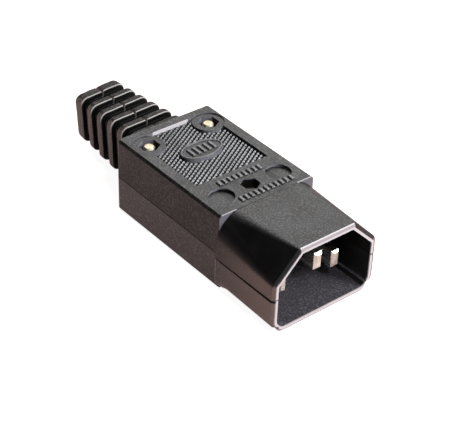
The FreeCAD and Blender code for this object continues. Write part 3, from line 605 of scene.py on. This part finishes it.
# %% Mix the plastics and the rubber
# Tints of the housing: painted highlights on the rim, the band, the edges, the wall and the corners;
# painted light on the hood's sides and forward faces; painted shade, near black, on the slopes, in the
# hollows and in the gap. The floor and its specks are the floor's own colour.
HOUSING_PAINTED_LIGHT = {"painted_light_masks": EDGES, "dull": ("Shaded Gap", "Smooth", "Shaded Cavity"), "tints": {
    "Lit Hood Side": (0.19, 0.14, 0.118), "Lit Forward": (0.2, 0.2, 0.23), "Smooth": (0.002, 0.002, 0.002),
    "Shaded Cavity": (0.002, 0.002, 0.002), "Floor": (0.05, 0.047, 0.055), "Floor Specks": (0.14, 0.132, 0.155),
    "Lit Corner": (0.15, 0.15, 0.17), "Band Highlight": (0.33, 0.29, 0.31), "Lit Wall": (0.75, 0.72, 0.76),
    "Rim Highlight": (0.62, 0.59, 0.62), "Edge Highlight": (0.5, 0.48, 0.5), "Shaded Gap": (0.001, 0.001, 0.001)}}
BOOT_SPECK = (0.08, 0.07, 0.065)
# Tints of the boot: painted light on the flanks, pale specks, painted shade in the gaps, and a painted
# highlight on each rib's edge.
BOOT_PAINTED_LIGHT = {"painted_light_masks": RIB_EDGES, "dull": ("Top",), "tints": {
    "Side": (0.26, 0.225, 0.205), "Specks": BOOT_SPECK, "Shaded Gap": (0.004, 0.004, 0.004),
    "Rib Highlight": (0.52, 0.5, 0.48)}}

HOUSING = moulded("housing plastic", (0.006, 0.0056, 0.0056), (0.014, 0.0125, 0.012), (0.4, 0.5), 3600.0,
                  0.02 * MM, speck=(0.045, 0.04, 0.037), gloss=0.25, coat=0.25, **HOUSING_PAINTED_LIGHT)
# The lower half is painted lighter than the upper one: painted light.
LIT_LOWER_HOUSING = moulded("lit lower housing plastic", (0.034, 0.0305, 0.028), (0.064, 0.058, 0.053), (0.4, 0.5),
                       3600.0, 0.02 * MM, speck=(0.11, 0.1, 0.091), gloss=0.45, coat=0.25, **HOUSING_PAINTED_LIGHT)
# The raised trim's paler colour is a painted highlight.
HIGHLIT_TRIM = moulded("highlit trim plastic", (0.05, 0.048, 0.052), (0.1, 0.097, 0.104), (0.35, 0.45), 3000.0,
                 0.01 * MM, speck=(0.2, 0.195, 0.21), gloss=0.5)
KNURLED = moulded("knurled plastic", (0.003, 0.003, 0.0032), (0.006, 0.006, 0.0064), (0.2, 0.24), 5200.0,
                  0.002 * MM, speck=(0.01, 0.01, 0.011), gloss=0.5, coat=0.0, grime=GROOVES)
RUBBER = moulded("boot rubber", (0.012, 0.011, 0.0105), (0.03, 0.0265, 0.025), (0.42, 0.56), 2600.0,
                 0.03 * MM, speck=BOOT_SPECK, gloss=0.08, coat=0.7, **BOOT_PAINTED_LIGHT)
INSULATOR = moulded("insulator plastic", (0.008, 0.008, 0.009), (0.014, 0.014, 0.015), (0.3, 0.42), 5200.0,
                    0.006 * MM)
CLAMP_NYLON = moulded("clamp nylon", (0.02, 0.02, 0.021), (0.032, 0.032, 0.034), (0.25, 0.36), 4000.0,
                      0.006 * MM)
PLASTICS = (HOUSING, LIT_LOWER_HOUSING, HIGHLIT_TRIM, KNURLED, RUBBER, INSULATOR, CLAMP_NYLON)
print("plastics and rubber:", [material.name for material in PLASTICS])

# %% [markdown]
# The pins are drawn brass strip with a thin nickel plate, so they show faint lines along their length.
# Turned screws show rings round their axis instead. Both are stretched noise: a texture squeezed along
# one direction becomes streaks. A second, wider noise lays tarnish over the metal.

# %% Mix the metals
STREAK_SCALE, STREAK_DEPTH, TARNISH_SCALE = 1500.0, 0.004 * MM, 420.0
ALONG, ROUND_AXIS = (0.08, 1.0, 1.0), (1.0, 1.0, 0.3)


def drawn_metal(name, colour, tarnish_and_painted_light, stretch, roughness):
    """Metal with fine streaks that drive its gloss and bump, and with patches of tarnish."""
    material = new_material(name)
    tree = material.node_tree
    place = new_node(tree, "ShaderNodeTexCoord").outputs["Object"]
    squeezed = new_node(tree, "ShaderNodeMapping", Vector=place, Scale=stretch).outputs["Vector"]
    streaks = soft_noise(squeezed, STREAK_SCALE, 4.0)
    tarnish = rise(soft_noise(place, TARNISH_SCALE, 2.0), 0.35, 0.7)
    shader = new_node(tree, "ShaderNodeBsdfPrincipled", Metallic=1.0,
                      Base_Color=blend_colours(tarnish, colour, tarnish_and_painted_light),
                      Roughness=value_range(streaks, *roughness),
                      Normal=bump(streaks, STREAK_DEPTH, 0.6))
    cover(material, shader.outputs[0])
    return material


NICKEL = drawn_metal("nickel plate", (0.68, 0.7, 0.64), (0.55, 0.54, 0.46), ALONG, (0.22, 0.38))
BRASS = drawn_metal("turned brass", (0.45, 0.4, 0.31), (0.36, 0.3, 0.2), ROUND_AXIS, (0.4, 0.6))
ZINC = drawn_metal("zinc plate", (0.6, 0.59, 0.56), (0.45, 0.44, 0.42), ROUND_AXIS, (0.3, 0.45))
DULL_STEEL = drawn_metal("dull steel", (0.3, 0.28, 0.25), (0.2, 0.18, 0.16), ROUND_AXIS, (0.4, 0.6))
print("metals:", [material.name for material in (NICKEL, BRASS, ZINC, DULL_STEEL)])

# %% [markdown]
# Each solid now gets the finish of the real piece: black plastic for the shells, brass for the screws,
# plain steel for the nuts. The table reads like a parts list, so a finish is easy to change. Some of
# these solids are replaced below by meshes with more detail, which take the same finishes.

# %% Give each solid its finish
# The lower shell takes the plastic that is painted lighter, as painted light.
FINISHES = {
    "upper_shell": HOUSING, "lower_shell": LIT_LOWER_HOUSING, "cord_boot": RUBBER, "contact_block": INSULATOR,
    "cord_clamp": CLAMP_NYLON, "line_pin": NICKEL, "neutral_pin": NICKEL, "earth_pin": NICKEL,
    "rear_left_screw": BRASS, "rear_right_screw": BRASS, "front_screw": BRASS,
    "rear_left_nut": DULL_STEEL, "rear_right_nut": DULL_STEEL, "front_nut": DULL_STEEL,
    "line_terminal_screw": ZINC, "neutral_terminal_screw": ZINC, "earth_terminal_screw": ZINC,
    "left_clamp_screw": ZINC, "right_clamp_screw": ZINC,
}
for node, finish in FINISHES.items():
    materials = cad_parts[node].data.materials
    materials.clear()
    materials.append(finish)
print(len(FINISHES), "solids finished")

# %% [markdown]
# ## The boot
#
# The boot is one soft moulding: an end rib, four more ribs and a collar, tapering towards the cord, with
# a slit along the top. It could be cut from a block with grooves, but lofting it shows its logic
# better. Loops with the same number of points are laid along the plug, each a rounded rectangle with
# the slit as a notch in its top, and neighbouring loops are joined by quads. The soft look comes from the
# small arcs at each rib's edges, from a slight waviness, and from a lean of a few degrees, because rubber
# that has been handled never stands quite straight.

# %% Helpers for mesh pieces
WELD = 0.001 * MM


def mesh_piece(name, points, faces, material, smooth=35.0):
    """A new piece on the plug, with sharp edges only where it turns by more than the angle."""
    mesh = bpy.data.meshes.new(name)
    mesh.from_pydata([tuple(point) for point in points], [], faces)
    mesh.validate()
    work = bmesh.new()
    work.from_mesh(mesh)
    bmesh.ops.remove_doubles(work, verts=work.verts, dist=WELD)
    bmesh.ops.recalc_face_normals(work, faces=work.faces)
    work.to_mesh(mesh)
    work.free()
    mesh.shade_smooth()
    mesh.set_sharp_from_angle(angle=math.radians(smooth))
    mesh.materials.append(material)
    piece = bpy.data.objects.new(name, mesh)
    scene.collection.objects.link(piece)
    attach(piece, "root")
    return piece


def join_loops(loops, closed_ends=False):
    """Quads between neighbouring loops that have as many points each."""
    count = len(loops[0])
    points = [point for loop in loops for point in loop]
    faces = []
    for row in range(len(loops) - 1):
        for i in range(count):
            j = (i + 1) % count
            faces.append((row * count + i, row * count + j, (row + 1) * count + j, (row + 1) * count + i))
    if closed_ends:
        faces.append(tuple(range(count)))
        faces.append(tuple(reversed(range((len(loops) - 1) * count, len(loops) * count))))
    return points, faces


def gathered(parts):
    """Several sets of points and faces as one set."""
    points, faces = [], []
    for new_points, new_faces in parts:
        faces += [[index + len(points) for index in face] for face in new_faces]
        points += new_points
    return points, faces


# %% Set the boot's sizes
BOOT_AXIS = (boot_low.z + boot_high.z) / 2
BOOT_LENGTH = REAR - boot_low.x
BOOT_REAR_HALF = (5.9 * MM, 5.75 * MM)
BOOT_FRONT_HALF = ((boot_high.y - boot_low.y) / 2, (boot_high.z - boot_low.z) / 2)
BOOT_CORNER = 1.8 * MM
RIB_ROUND, END_ROUND, ROOT_ROUND = 0.42 * MM, 1.0 * MM, 0.25 * MM
RIBS, RIB_STEPS, END_STEPS, ROOT_STEPS = 5, 4, 6, 3
COLLAR_EDGE = (0.2 * MM, 0.15 * MM)
SLIT_HALF, SLIT_DEPTH, SLIT_ROUND = 0.225 * MM, 1.5 * MM, 0.18 * MM
CORD_RADIUS, LEAD_IN = 3.25 * MM, 0.25 * MM
NECK_HALF, FLANGE_HALF = (5.4 * MM, 5.2 * MM), (6.1 * MM, 6.0 * MM)
WALL, FLANGE = 2.0 * MM, 1.2 * MM
print("boot", round(BOOT_LENGTH / MM, 1), "mm long on the outside")


# %% Outline the boot
def arc(centre, radius, first, last, steps):
    """Points on an arc, with angles in degrees."""
    turns = [math.radians(first + (last - first) * i / steps) for i in range(steps + 1)]
    return [(centre[0] + radius * math.cos(t), centre[1] + radius * math.sin(t)) for t in turns]


def boot_profile():
    """Pairs of distance from the cord end and depth below the taper, along the whole boot."""
    line = arc((END_ROUND, END_ROUND), END_ROUND, 180, 270, END_STEPS)
    ribs = [(0.0, END_RIB)]
    while len(ribs) < RIBS:
        start = ribs[-1][1] + GROOVE
        ribs.append((start, start + RIB))
    ribs.append((ribs[-1][1] + GROOVE, BOOT_LENGTH))
    deep = GROOVE_DEPTH - ROOT_ROUND
    for (_, back), (ahead, _) in zip(ribs, ribs[1:]):
        line += arc((back - RIB_ROUND, RIB_ROUND), RIB_ROUND, 270, 360, RIB_STEPS)
        line += arc((back + ROOT_ROUND, deep), ROOT_ROUND, 180, 90, ROOT_STEPS)
        line += arc((ahead - ROOT_ROUND, deep), ROOT_ROUND, 90, 0, ROOT_STEPS)
        line += arc((ahead + RIB_ROUND, RIB_ROUND), RIB_ROUND, 180, 270, RIB_STEPS)
    return line + [(BOOT_LENGTH - COLLAR_EDGE[0], 0.0), (BOOT_LENGTH, COLLAR_EDGE[1])]


# %% Draw one loop of the boot
SIDE_STEPS, CORNER_STEPS, LIP_SHARE = 5, 6, 0.3


def boot_loop(x, half_width, half_height, slit_level):
    """A rounded rectangle across the plug with a notch in the middle of its top."""
    top = half_height
    notch = min(slit_level, top)
    lip = min(SLIT_ROUND, top - notch)
    right = [(0.0, notch), (SLIT_HALF, notch), (SLIT_HALF, top - lip)]
    right.append((SLIT_HALF + lip * LIP_SHARE, top - lip * LIP_SHARE))
    right.append((SLIT_HALF + lip, top))
    reach = half_width - BOOT_CORNER
    span = reach - SLIT_HALF - lip
    right += [(SLIT_HALF + lip + span * i / SIDE_STEPS, top) for i in range(1, SIDE_STEPS)]
    level = half_height - BOOT_CORNER
    right += arc((reach, level), BOOT_CORNER, 90, 0, CORNER_STEPS)
    right += [(half_width, level - 2 * level * i / SIDE_STEPS) for i in range(1, SIDE_STEPS)]
    right += arc((reach, -level), BOOT_CORNER, 0, -90, CORNER_STEPS)
    right += [(reach - reach * i / SIDE_STEPS, -half_height) for i in range(1, SIDE_STEPS + 1)]
    left = [(-y, z) for y, z in reversed(right[1:-1])]
    return [Vector((x, y, BOOT_AXIS + z)) for y, z in right + left]


def bore_loop(x, like):
    """The cord hole, with a point for each point of another loop."""
    angles = [math.atan2(point.z - BOOT_AXIS, point.y) for point in like]
    return [Vector((x, CORD_RADIUS * math.cos(a), BOOT_AXIS + CORD_RADIUS * math.sin(a))) for a in angles]


# %% Soften a loop
WAVE, WAVE_SIZE, WAVE_MIDDLE = 0.11 * MM, 2.2 * MM, 0.4


def outwards(point):
    """The direction away from the boot's axis."""
    return (point - Vector((point.x, 0, BOOT_AXIS))).normalized()


def wavy(loop, amount):
    """Push each point of a loop in or out a little, in slow waves."""
    waves = [noise.noise(point / WAVE_SIZE) - WAVE_MIDDLE for point in loop]
    return [point + outwards(point) * amount * wave for point, wave in zip(loop, waves)]


def leaning(loop, degrees, lift):
    """Turn a loop about the boot's axis and raise it, as soft rubber does when it has been handled."""
    turn = Matrix.Rotation(math.radians(degrees), 3, "X")
    middle = Vector((0, 0, BOOT_AXIS))
    return [turn @ (point - middle) + middle + Vector((0, 0, lift)) for point in loop]


# %% Loft the boot
LEAN_REAR, LEAN_FRONT = 4.0, 1.8
LIFT_REAR, LIFT_FRONT = 0.35 * MM, 0.15 * MM
FADE_RATE = 12.0


def lofted_boot():
    """The outside with its ribs, the neck and flange inside the housing, and the cord hole back again."""
    loops = []
    for along, depth in boot_profile():
        share = along / BOOT_LENGTH
        halves = [a + (b - a) * share for a, b in zip(BOOT_REAR_HALF, BOOT_FRONT_HALF)]
        slit_level = halves[1] - SLIT_DEPTH
        loop = boot_loop(boot_low.x + along, halves[0] - depth, halves[1] - depth, slit_level)
        fade = min(1.0, (1.0 - share) * FADE_RATE)
        lean = (LEAN_REAR + (LEAN_FRONT - LEAN_REAR) * share) * fade
        lift = (LIFT_REAR + (LIFT_FRONT - LIFT_REAR) * share) * fade
        loops.append(leaning(wavy(loop, WAVE * fade), lean, lift))
    for x, halves in ((REAR, NECK_HALF), (REAR + WALL, NECK_HALF), (REAR + WALL, FLANGE_HALF),
                      (REAR + WALL + FLANGE, FLANGE_HALF)):
        loops.append(boot_loop(x, *halves, halves[1]))
    bore = [bore_loop(boot_high.x, loops[0]), bore_loop(boot_low.x + LEAD_IN, loops[0])]
    bore.append([point + outwards(point) * LEAD_IN - Vector((LEAD_IN, 0, 0)) for point in bore[1]])
    points, faces = join_loops(loops + bore + [loops[0]])
    return mesh_piece("ribbed_boot", points, faces, RUBBER)


boot = lofted_boot()
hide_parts("cord_boot")
print("the boot has", len(boot.data.polygons), "faces")

# %% [markdown]
# ## The knurled panel
#
# The sunk panel on top carries a diamond knurl: small four-sided points where two families of grooves
# cross. The grooves could be a bump texture, but the points are wide enough to show their own facets,
# and they catch the light one by one. So each is a real pyramid with a blunt tip. The pyramids near a
# border are cut off along it, as the cutter that made the mould did.

# %% Set the panel's sizes
KNURL_HEIGHT, KNURL_TIP = 0.36 * MM, 0.2
KNURL_ROWS, KNURL_HALF_LENGTH, KNURL_HALF_WIDTH = 20, 11.6 * MM, PANEL_HALF + 0.8 * MM
BOSSES = [Vector((FRONT - 29.3 * MM, side * 7.9 * MM)) for side in (1, -1)]
BOSS_RADIUS = 3.55 * MM
OVAL_MIDDLE, OVAL_HALF = Vector((FRONT - 21.5 * MM, 0.0)), (3.05 * MM, 5.2 * MM)
NEAR_MIDDLE, LEAST_AREA = 0.1, 1e-12
print("knurl points", KNURL_PITCH / MM, "mm apart")


def cut_at(x, y, away_x, away_y):
    """An upright plane through a point, and the side of it that is cut away."""
    return Vector((x, y, 0)), Vector((away_x, away_y, 0))


def knurl_cuts(place):
    """Planes that cut a pyramid at this place: the panel's four sides, both bosses and the oval pad."""
    cuts = [cut_at(PANEL_FRONT, 0, 1, 0), cut_at(PANEL_REAR, 0, -1, 0),
            cut_at(0, PANEL_HALF, 0, 1), cut_at(0, -PANEL_HALF, 0, -1)]
    for boss in BOSSES:
        away = (place - boss).normalized()
        edge = boss + away * BOSS_RADIUS
        cuts.append(cut_at(edge.x, edge.y, -away.x, -away.y))
    offset = place - OVAL_MIDDLE
    reach = math.hypot(offset.x / OVAL_HALF[0], offset.y / OVAL_HALF[1])
    if reach > NEAR_MIDDLE:
        edge = offset / reach
        slope = Vector((edge.x / OVAL_HALF[0] ** 2, edge.y / OVAL_HALF[1] ** 2)).normalized()
        edge += OVAL_MIDDLE
        cuts.append(cut_at(edge.x, edge.y, -slope.x, -slope.y))
    return cuts


# %% Cut one pyramid
def cut_off(work, point, normal):
    """Cut what lies beyond a plane from a pyramid, and close the cut with a wall down to the panel."""
    everything = list(work.verts) + list(work.edges) + list(work.faces)
    made = bmesh.ops.bisect_plane(work, geom=everything, plane_co=point, plane_no=normal, clear_outer=True)
    rim = [part for part in made["geom_cut"] if isinstance(part, bmesh.types.BMEdge)]
    walls = bmesh.ops.extrude_edge_only(work, edges=rim)
    for part in walls["geom"]:
        if isinstance(part, bmesh.types.BMVert):
            part.co.z = PANEL_FLOOR


def knurl_pyramid(place, corners):
    """One blunt pyramid, cut where a border crosses it. Empty if nothing is left."""
    work = bmesh.new()
    base = [work.verts.new((*(place + corner), PANEL_FLOOR)) for corner in corners]
    level = PANEL_FLOOR + KNURL_HEIGHT
    tip = [work.verts.new((*(place + corner * KNURL_TIP), level)) for corner in corners]
    work.faces.new(tip)
    for i in range(4):
        work.faces.new((base[i], base[(i + 1) % 4], tip[(i + 1) % 4], tip[i]))
    for point, normal in knurl_cuts(place):
        outside = [vert for vert in work.verts if (vert.co - point).dot(normal) > 0]
        if len(outside) == len(work.verts):
            work.free()
            return [], []
        if outside:
            cut_off(work, point, normal)
    work.verts.index_update()
    points = [vert.co.copy() for vert in work.verts]
    faces = [[vert.index for vert in face.verts] for face in work.faces if face.calc_area() > LEAST_AREA]
    work.free()
    return points, faces


# %% Lay the pyramids on the panel
def knurled_panel():
    """The pyramids stand where the two families of grooves leave them, from row to row."""
    turns = (math.radians(KNURL_ANGLE), math.radians(-KNURL_ANGLE))
    normals = [Vector((math.cos(turn), math.sin(turn))) for turn in turns]
    spread = normals[0].x * normals[1].y - normals[0].y * normals[1].x

    def crossing(a, b):
        """Where groove a of one family meets groove b of the other."""
        x = a * normals[1].y - b * normals[0].y
        y = b * normals[0].x - a * normals[1].x
        return Vector((x / spread, y / spread))

    middle = PANEL_MIDDLE.xy
    half = KNURL_PITCH / 2
    corners = [crossing(half, half), crossing(-half, half), crossing(-half, -half), crossing(half, -half)]
    rows = range(-KNURL_ROWS, KNURL_ROWS + 1)
    places = [middle + crossing(i * KNURL_PITCH, j * KNURL_PITCH) for i in rows for j in rows]
    near = [place for place in places
            if abs(place.x - middle.x) <= KNURL_HALF_LENGTH and abs(place.y) <= KNURL_HALF_WIDTH]
    points, faces = gathered([knurl_pyramid(place, corners) for place in near])
    return mesh_piece("knurled_panel", points, faces, KNURLED, smooth=20.0)


knurl = knurled_panel()
print("the knurl has", len(knurl.data.polygons), "faces")

# %% [markdown]
# ## The housing screws
#
# Three screws enter from below and end in the sunk nuts, where their ends show. A screw is turned, so its
# shank is a net of points round its axis. The thread is one more term in each point's radius: it rises
# and falls once for each pitch, and shifts with the angle, which makes it a helix. The head is a disc
# whose lower layer is two half-discs, with the screwdriver slot between them.

# %% Turn the parts of a screw
THREAD_PITCH, THREAD_DEPTH, CREST_TRIM = 0.45 * MM, 0.24 * MM, 0.02 * MM
TURN_STEPS, RISE_STEPS = 32, 8
HEAD_RADIUS, HEAD_HEIGHT, SLOT_WIDTH, SLOT_SHARE = 2.1 * MM, 1.6 * MM, 0.6 * MM, 0.45
END_BEVEL, HEAD_EDGE = 0.3 * MM, 0.2 * MM
SCREW_RADII = {"rear_left_screw": 1.3 * MM, "rear_right_screw": 1.3 * MM, "front_screw": 1.0 * MM}


def turned_loop(axis, z, radii):
    """A loop round an axis, with a radius for each of its points."""
    turns = [math.tau * i / len(radii) for i in range(len(radii))]
    return [Vector((axis.x + r * math.cos(t), axis.y + r * math.sin(t), z)) for r, t in zip(radii, turns)]


def shank(axis, radius, low, high):
    """A threaded shank with a bevelled end on top."""
    loops = []
    rows = int((high - low) / THREAD_PITCH * RISE_STEPS)
    for row in range(rows + 1):
        z = low + (high - low) * row / rows
        limit = radius - CREST_TRIM - max(0.0, END_BEVEL - (high - z))
        shares = [((z - low) / THREAD_PITCH - i / TURN_STEPS) % 1.0 for i in range(TURN_STEPS)]
        radii = [min(radius - THREAD_DEPTH * abs(2.0 * share - 1.0), limit) for share in shares]
        loops.append(turned_loop(axis, z, radii))
    return join_loops(loops, closed_ends=True)


def disc(axis, radius, low, high):
    """A plain round plate."""
    return join_loops([turned_loop(axis, z, [radius] * TURN_STEPS) for z in (low, high)], closed_ends=True)


def half_disc(axis, side, levels, radii):
    """A half-disc beside the slot, as loops that narrow at their outer edge."""
    loops = []
    steps = TURN_STEPS // 2
    for z, radius in zip(levels, radii):
        first = math.asin(SLOT_WIDTH / 2 / radius)
        turns = [first + (math.pi - 2 * first) * i / steps for i in range(steps + 1)]
        places = [(axis.x + side * radius * math.sin(t), axis.y + radius * math.cos(t)) for t in turns]
        loops.append([Vector((*place, z)) for place in places])
    return join_loops(loops, closed_ends=True)


# %% Turn the housing screws
def housing_screw(node, radius):
    """A slotted screw whose head looks down and whose end looks up."""
    low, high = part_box(node)
    axis = Vector(((low.x + high.x) / 2, (low.y + high.y) / 2))
    seat = low.z + HEAD_HEIGHT
    slot_top = low.z + HEAD_HEIGHT * SLOT_SHARE
    parts = [shank(axis, radius, seat, high.z), disc(axis, HEAD_RADIUS, slot_top, seat)]
    for side in (1, -1):
        parts.append(half_disc(axis, side, (slot_top, low.z + HEAD_EDGE, low.z),
                               (HEAD_RADIUS, HEAD_RADIUS, HEAD_RADIUS - HEAD_EDGE)))
    points, faces = gathered(parts)
    name = node.replace("screw", "turned_screw")
    return mesh_piece(name, points, faces, BRASS, smooth=40.0)


for node, radius in SCREW_RADII.items():
    screw = housing_screw(node, radius)
    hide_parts(node)
    print(screw.name, "has", len(screw.data.polygons), "faces")

# %% [markdown]
# ## Raised trim on the top
#
# The oval pad has a raised border, and two rows of small raised bars stand behind and before the front
# screw, with a shorter row on the pad. They are as low as a fingernail's thickness, but their sides catch
# the light, so they are real shapes: a half-round ring swept round an ellipse, and boxes whose tops are a
# little smaller.

# %% Border the oval pad
BORDER_RADIUS, BORDER_RISE = 0.3 * MM, 0.8
PAD_TOP = TOP - 0.15 * MM
RING_STEPS, BORDER_STEPS = 96, 8


def pad_border():
    """A half-round strip, a little flattened, that follows the pad's edge."""
    loops = []
    section = arc((0.0, 0.0), BORDER_RADIUS, 180, 0, BORDER_STEPS)
    for i in range(RING_STEPS + 1):
        turn = math.tau * i / RING_STEPS
        loop = []
        for out, up in section:
            x, y = [half - BORDER_RADIUS + out for half in OVAL_HALF]
            place = OVAL_MIDDLE + Vector((x * math.cos(turn), y * math.sin(turn)))
            loop.append(Vector((*place, PAD_TOP + up * BORDER_RISE)))
        loops.append(loop)
    points, faces = join_loops(loops)
    # The border's pale plastic is a painted highlight.
    return mesh_piece("pad_border", points, faces, HIGHLIT_TRIM)


border = pad_border()
print("border round the pad:", len(border.data.polygons), "faces")

# %% Add the rows of bars
BAR_HEIGHT, BAR_BEVEL, BAR_SINK = 0.36 * MM, 0.14 * MM, 0.05 * MM
BAR_ROWS = [  # name, place along the plug, first and last place across it, pitch, half-sizes, level
    ("rear_bars", FRONT - 8.97 * MM, -5.2 * MM, 6.1 * MM, 1.3 * MM, (0.75 * MM, 0.38 * MM), TOP),
    ("front_bars", FRONT - 2.15 * MM, -5.0 * MM, 8.1 * MM, 1.3 * MM, (0.75 * MM, 0.38 * MM), TOP),
    ("pad_bars", OVAL_MIDDLE.x, -2.8 * MM, 2.9 * MM, 1.4 * MM, (1.3 * MM, 0.36 * MM), PAD_TOP),
]


def raised_bar(x, y, half_length, half_width, level):
    """A low box with sloping sides, sunk a little into what it stands on."""
    loops = []
    for inset, height in ((0.0, -BAR_SINK), (0.0, BAR_HEIGHT - BAR_BEVEL), (BAR_BEVEL, BAR_HEIGHT)):
        a, b = half_length - inset, half_width - inset
        corners = ((x - a, y - b), (x + a, y - b), (x + a, y + b), (x - a, y + b))
        loops.append([Vector((*corner, level + height)) for corner in corners])
    return join_loops(loops, closed_ends=True)


for name, x, first, last, pitch, halves, level in BAR_ROWS:
    count = int((last - first) / pitch) + 1
    points, faces = gathered([raised_bar(x, first + pitch * i, *halves, level) for i in range(count)])
    # The bars' pale plastic is a painted highlight.
    mesh_piece(name, points, faces, HIGHLIT_TRIM, smooth=20.0)
    print(name, "has", count, "bars")

# %% [markdown]
# ## The lower half
#
# The mouth's two lower corners are well rounded, outside and inside. The solid has them square, so this
# piece starts from the solid's own surface, is cut along planes that fan out from the middle of each
# rounding, and is then drawn in: squares round that middle become circles. A wall of even thickness
# stays one, because the inner corner is drawn in with the outer one.

# %% Helpers for the rounded corners
CORNER_CUTS, CORNER_RINGS, CORNER_RISE = 8, 4, 4.0 * MM
HOOD_ROOT_HALF, HOOD_MOUTH_HALF = 13.1 * MM, 13.5 * MM
BEYOND_FRONT = 0.01 * MM


def corner_middle(x, side):
    """The middle of the rounding, which follows the hood's widening."""
    share = (x - FRONT) / (MOUTH - FRONT)
    half = HOOD_ROOT_HALF + (HOOD_MOUTH_HALF - HOOD_ROOT_HALF) * share
    return Vector((x, side * (half - CORNER_ROUND), CORNER_ROUND))


def reaches_corner(face, side):
    """Whether a face reaches into the corner of the hood on one side."""
    places = [vert.co for vert in face.verts]
    return (max(place.x for place in places) > FRONT + BEYOND_FRONT
            and max(side * place.y for place in places) > abs(corner_middle(FRONT, side).y)
            and min(place.z for place in places) < CORNER_ROUND)


def cut_corner(work, side, point, normal):
    """Cut the faces in one corner of the hood along a plane."""
    faces = [face for face in work.faces if reaches_corner(face, side)]
    edges = list({edge for face in faces for edge in face.edges})
    verts = list({vert for face in faces for vert in face.verts})
    bmesh.ops.bisect_plane(work, geom=faces + edges + verts, plane_co=point, plane_no=normal)


def draw_in(vert, side):
    """Move one point of the square corner onto its circle, fully only some way in front of the root."""
    middle = corner_middle(vert.co.x, side)
    out, down = side * (vert.co.y - middle.y), middle.z - vert.co.z
    if vert.co.x <= FRONT or out <= 0 or down <= 0:
        return
    rise = min(1.0, (vert.co.x - FRONT) / CORNER_RISE)
    share = 1.0 + (max(out, down) / math.hypot(out, down) - 1.0) * rise * rise * (3.0 - 2.0 * rise)
    vert.co.y = middle.y + side * out * share
    vert.co.z = middle.z - down * share


# %% Round the mouth's lower corners
def rounded_lower_half():
    """The solid's own surface with both corners cut finely and drawn in."""
    work = bmesh.new()
    work.from_mesh(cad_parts["lower_shell"].data)
    bmesh.ops.remove_doubles(work, verts=work.verts, dist=WELD)
    for side in (1, -1):
        for ring in range(1, CORNER_RINGS + 1):
            x = FRONT + CORNER_RISE * ring / CORNER_RINGS
            cut_corner(work, side, Vector((x, 0, 0)), Vector((1, 0, 0)))
        along = corner_middle(MOUTH, side) - corner_middle(FRONT, side)
        for step in range(CORNER_CUTS + 1):
            turn = math.pi / 2 * step / CORNER_CUTS
            ray = Vector((0, side * math.cos(turn), -math.sin(turn)))
            cut_corner(work, side, corner_middle(FRONT, side), along.cross(ray).normalized())
        for vert in work.verts:
            draw_in(vert, side)
    work.verts.index_update()
    points = [vert.co.copy() for vert in work.verts]
    faces = [[vert.index for vert in face.verts] for face in work.faces]
    work.free()
    # The lower half takes the plastic that is painted lighter, as painted light.
    return mesh_piece("lower_half", points, faces, LIT_LOWER_HOUSING)


lower_half = rounded_lower_half()
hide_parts("lower_shell")
print("the lower half has", len(lower_half.data.polygons), "faces")
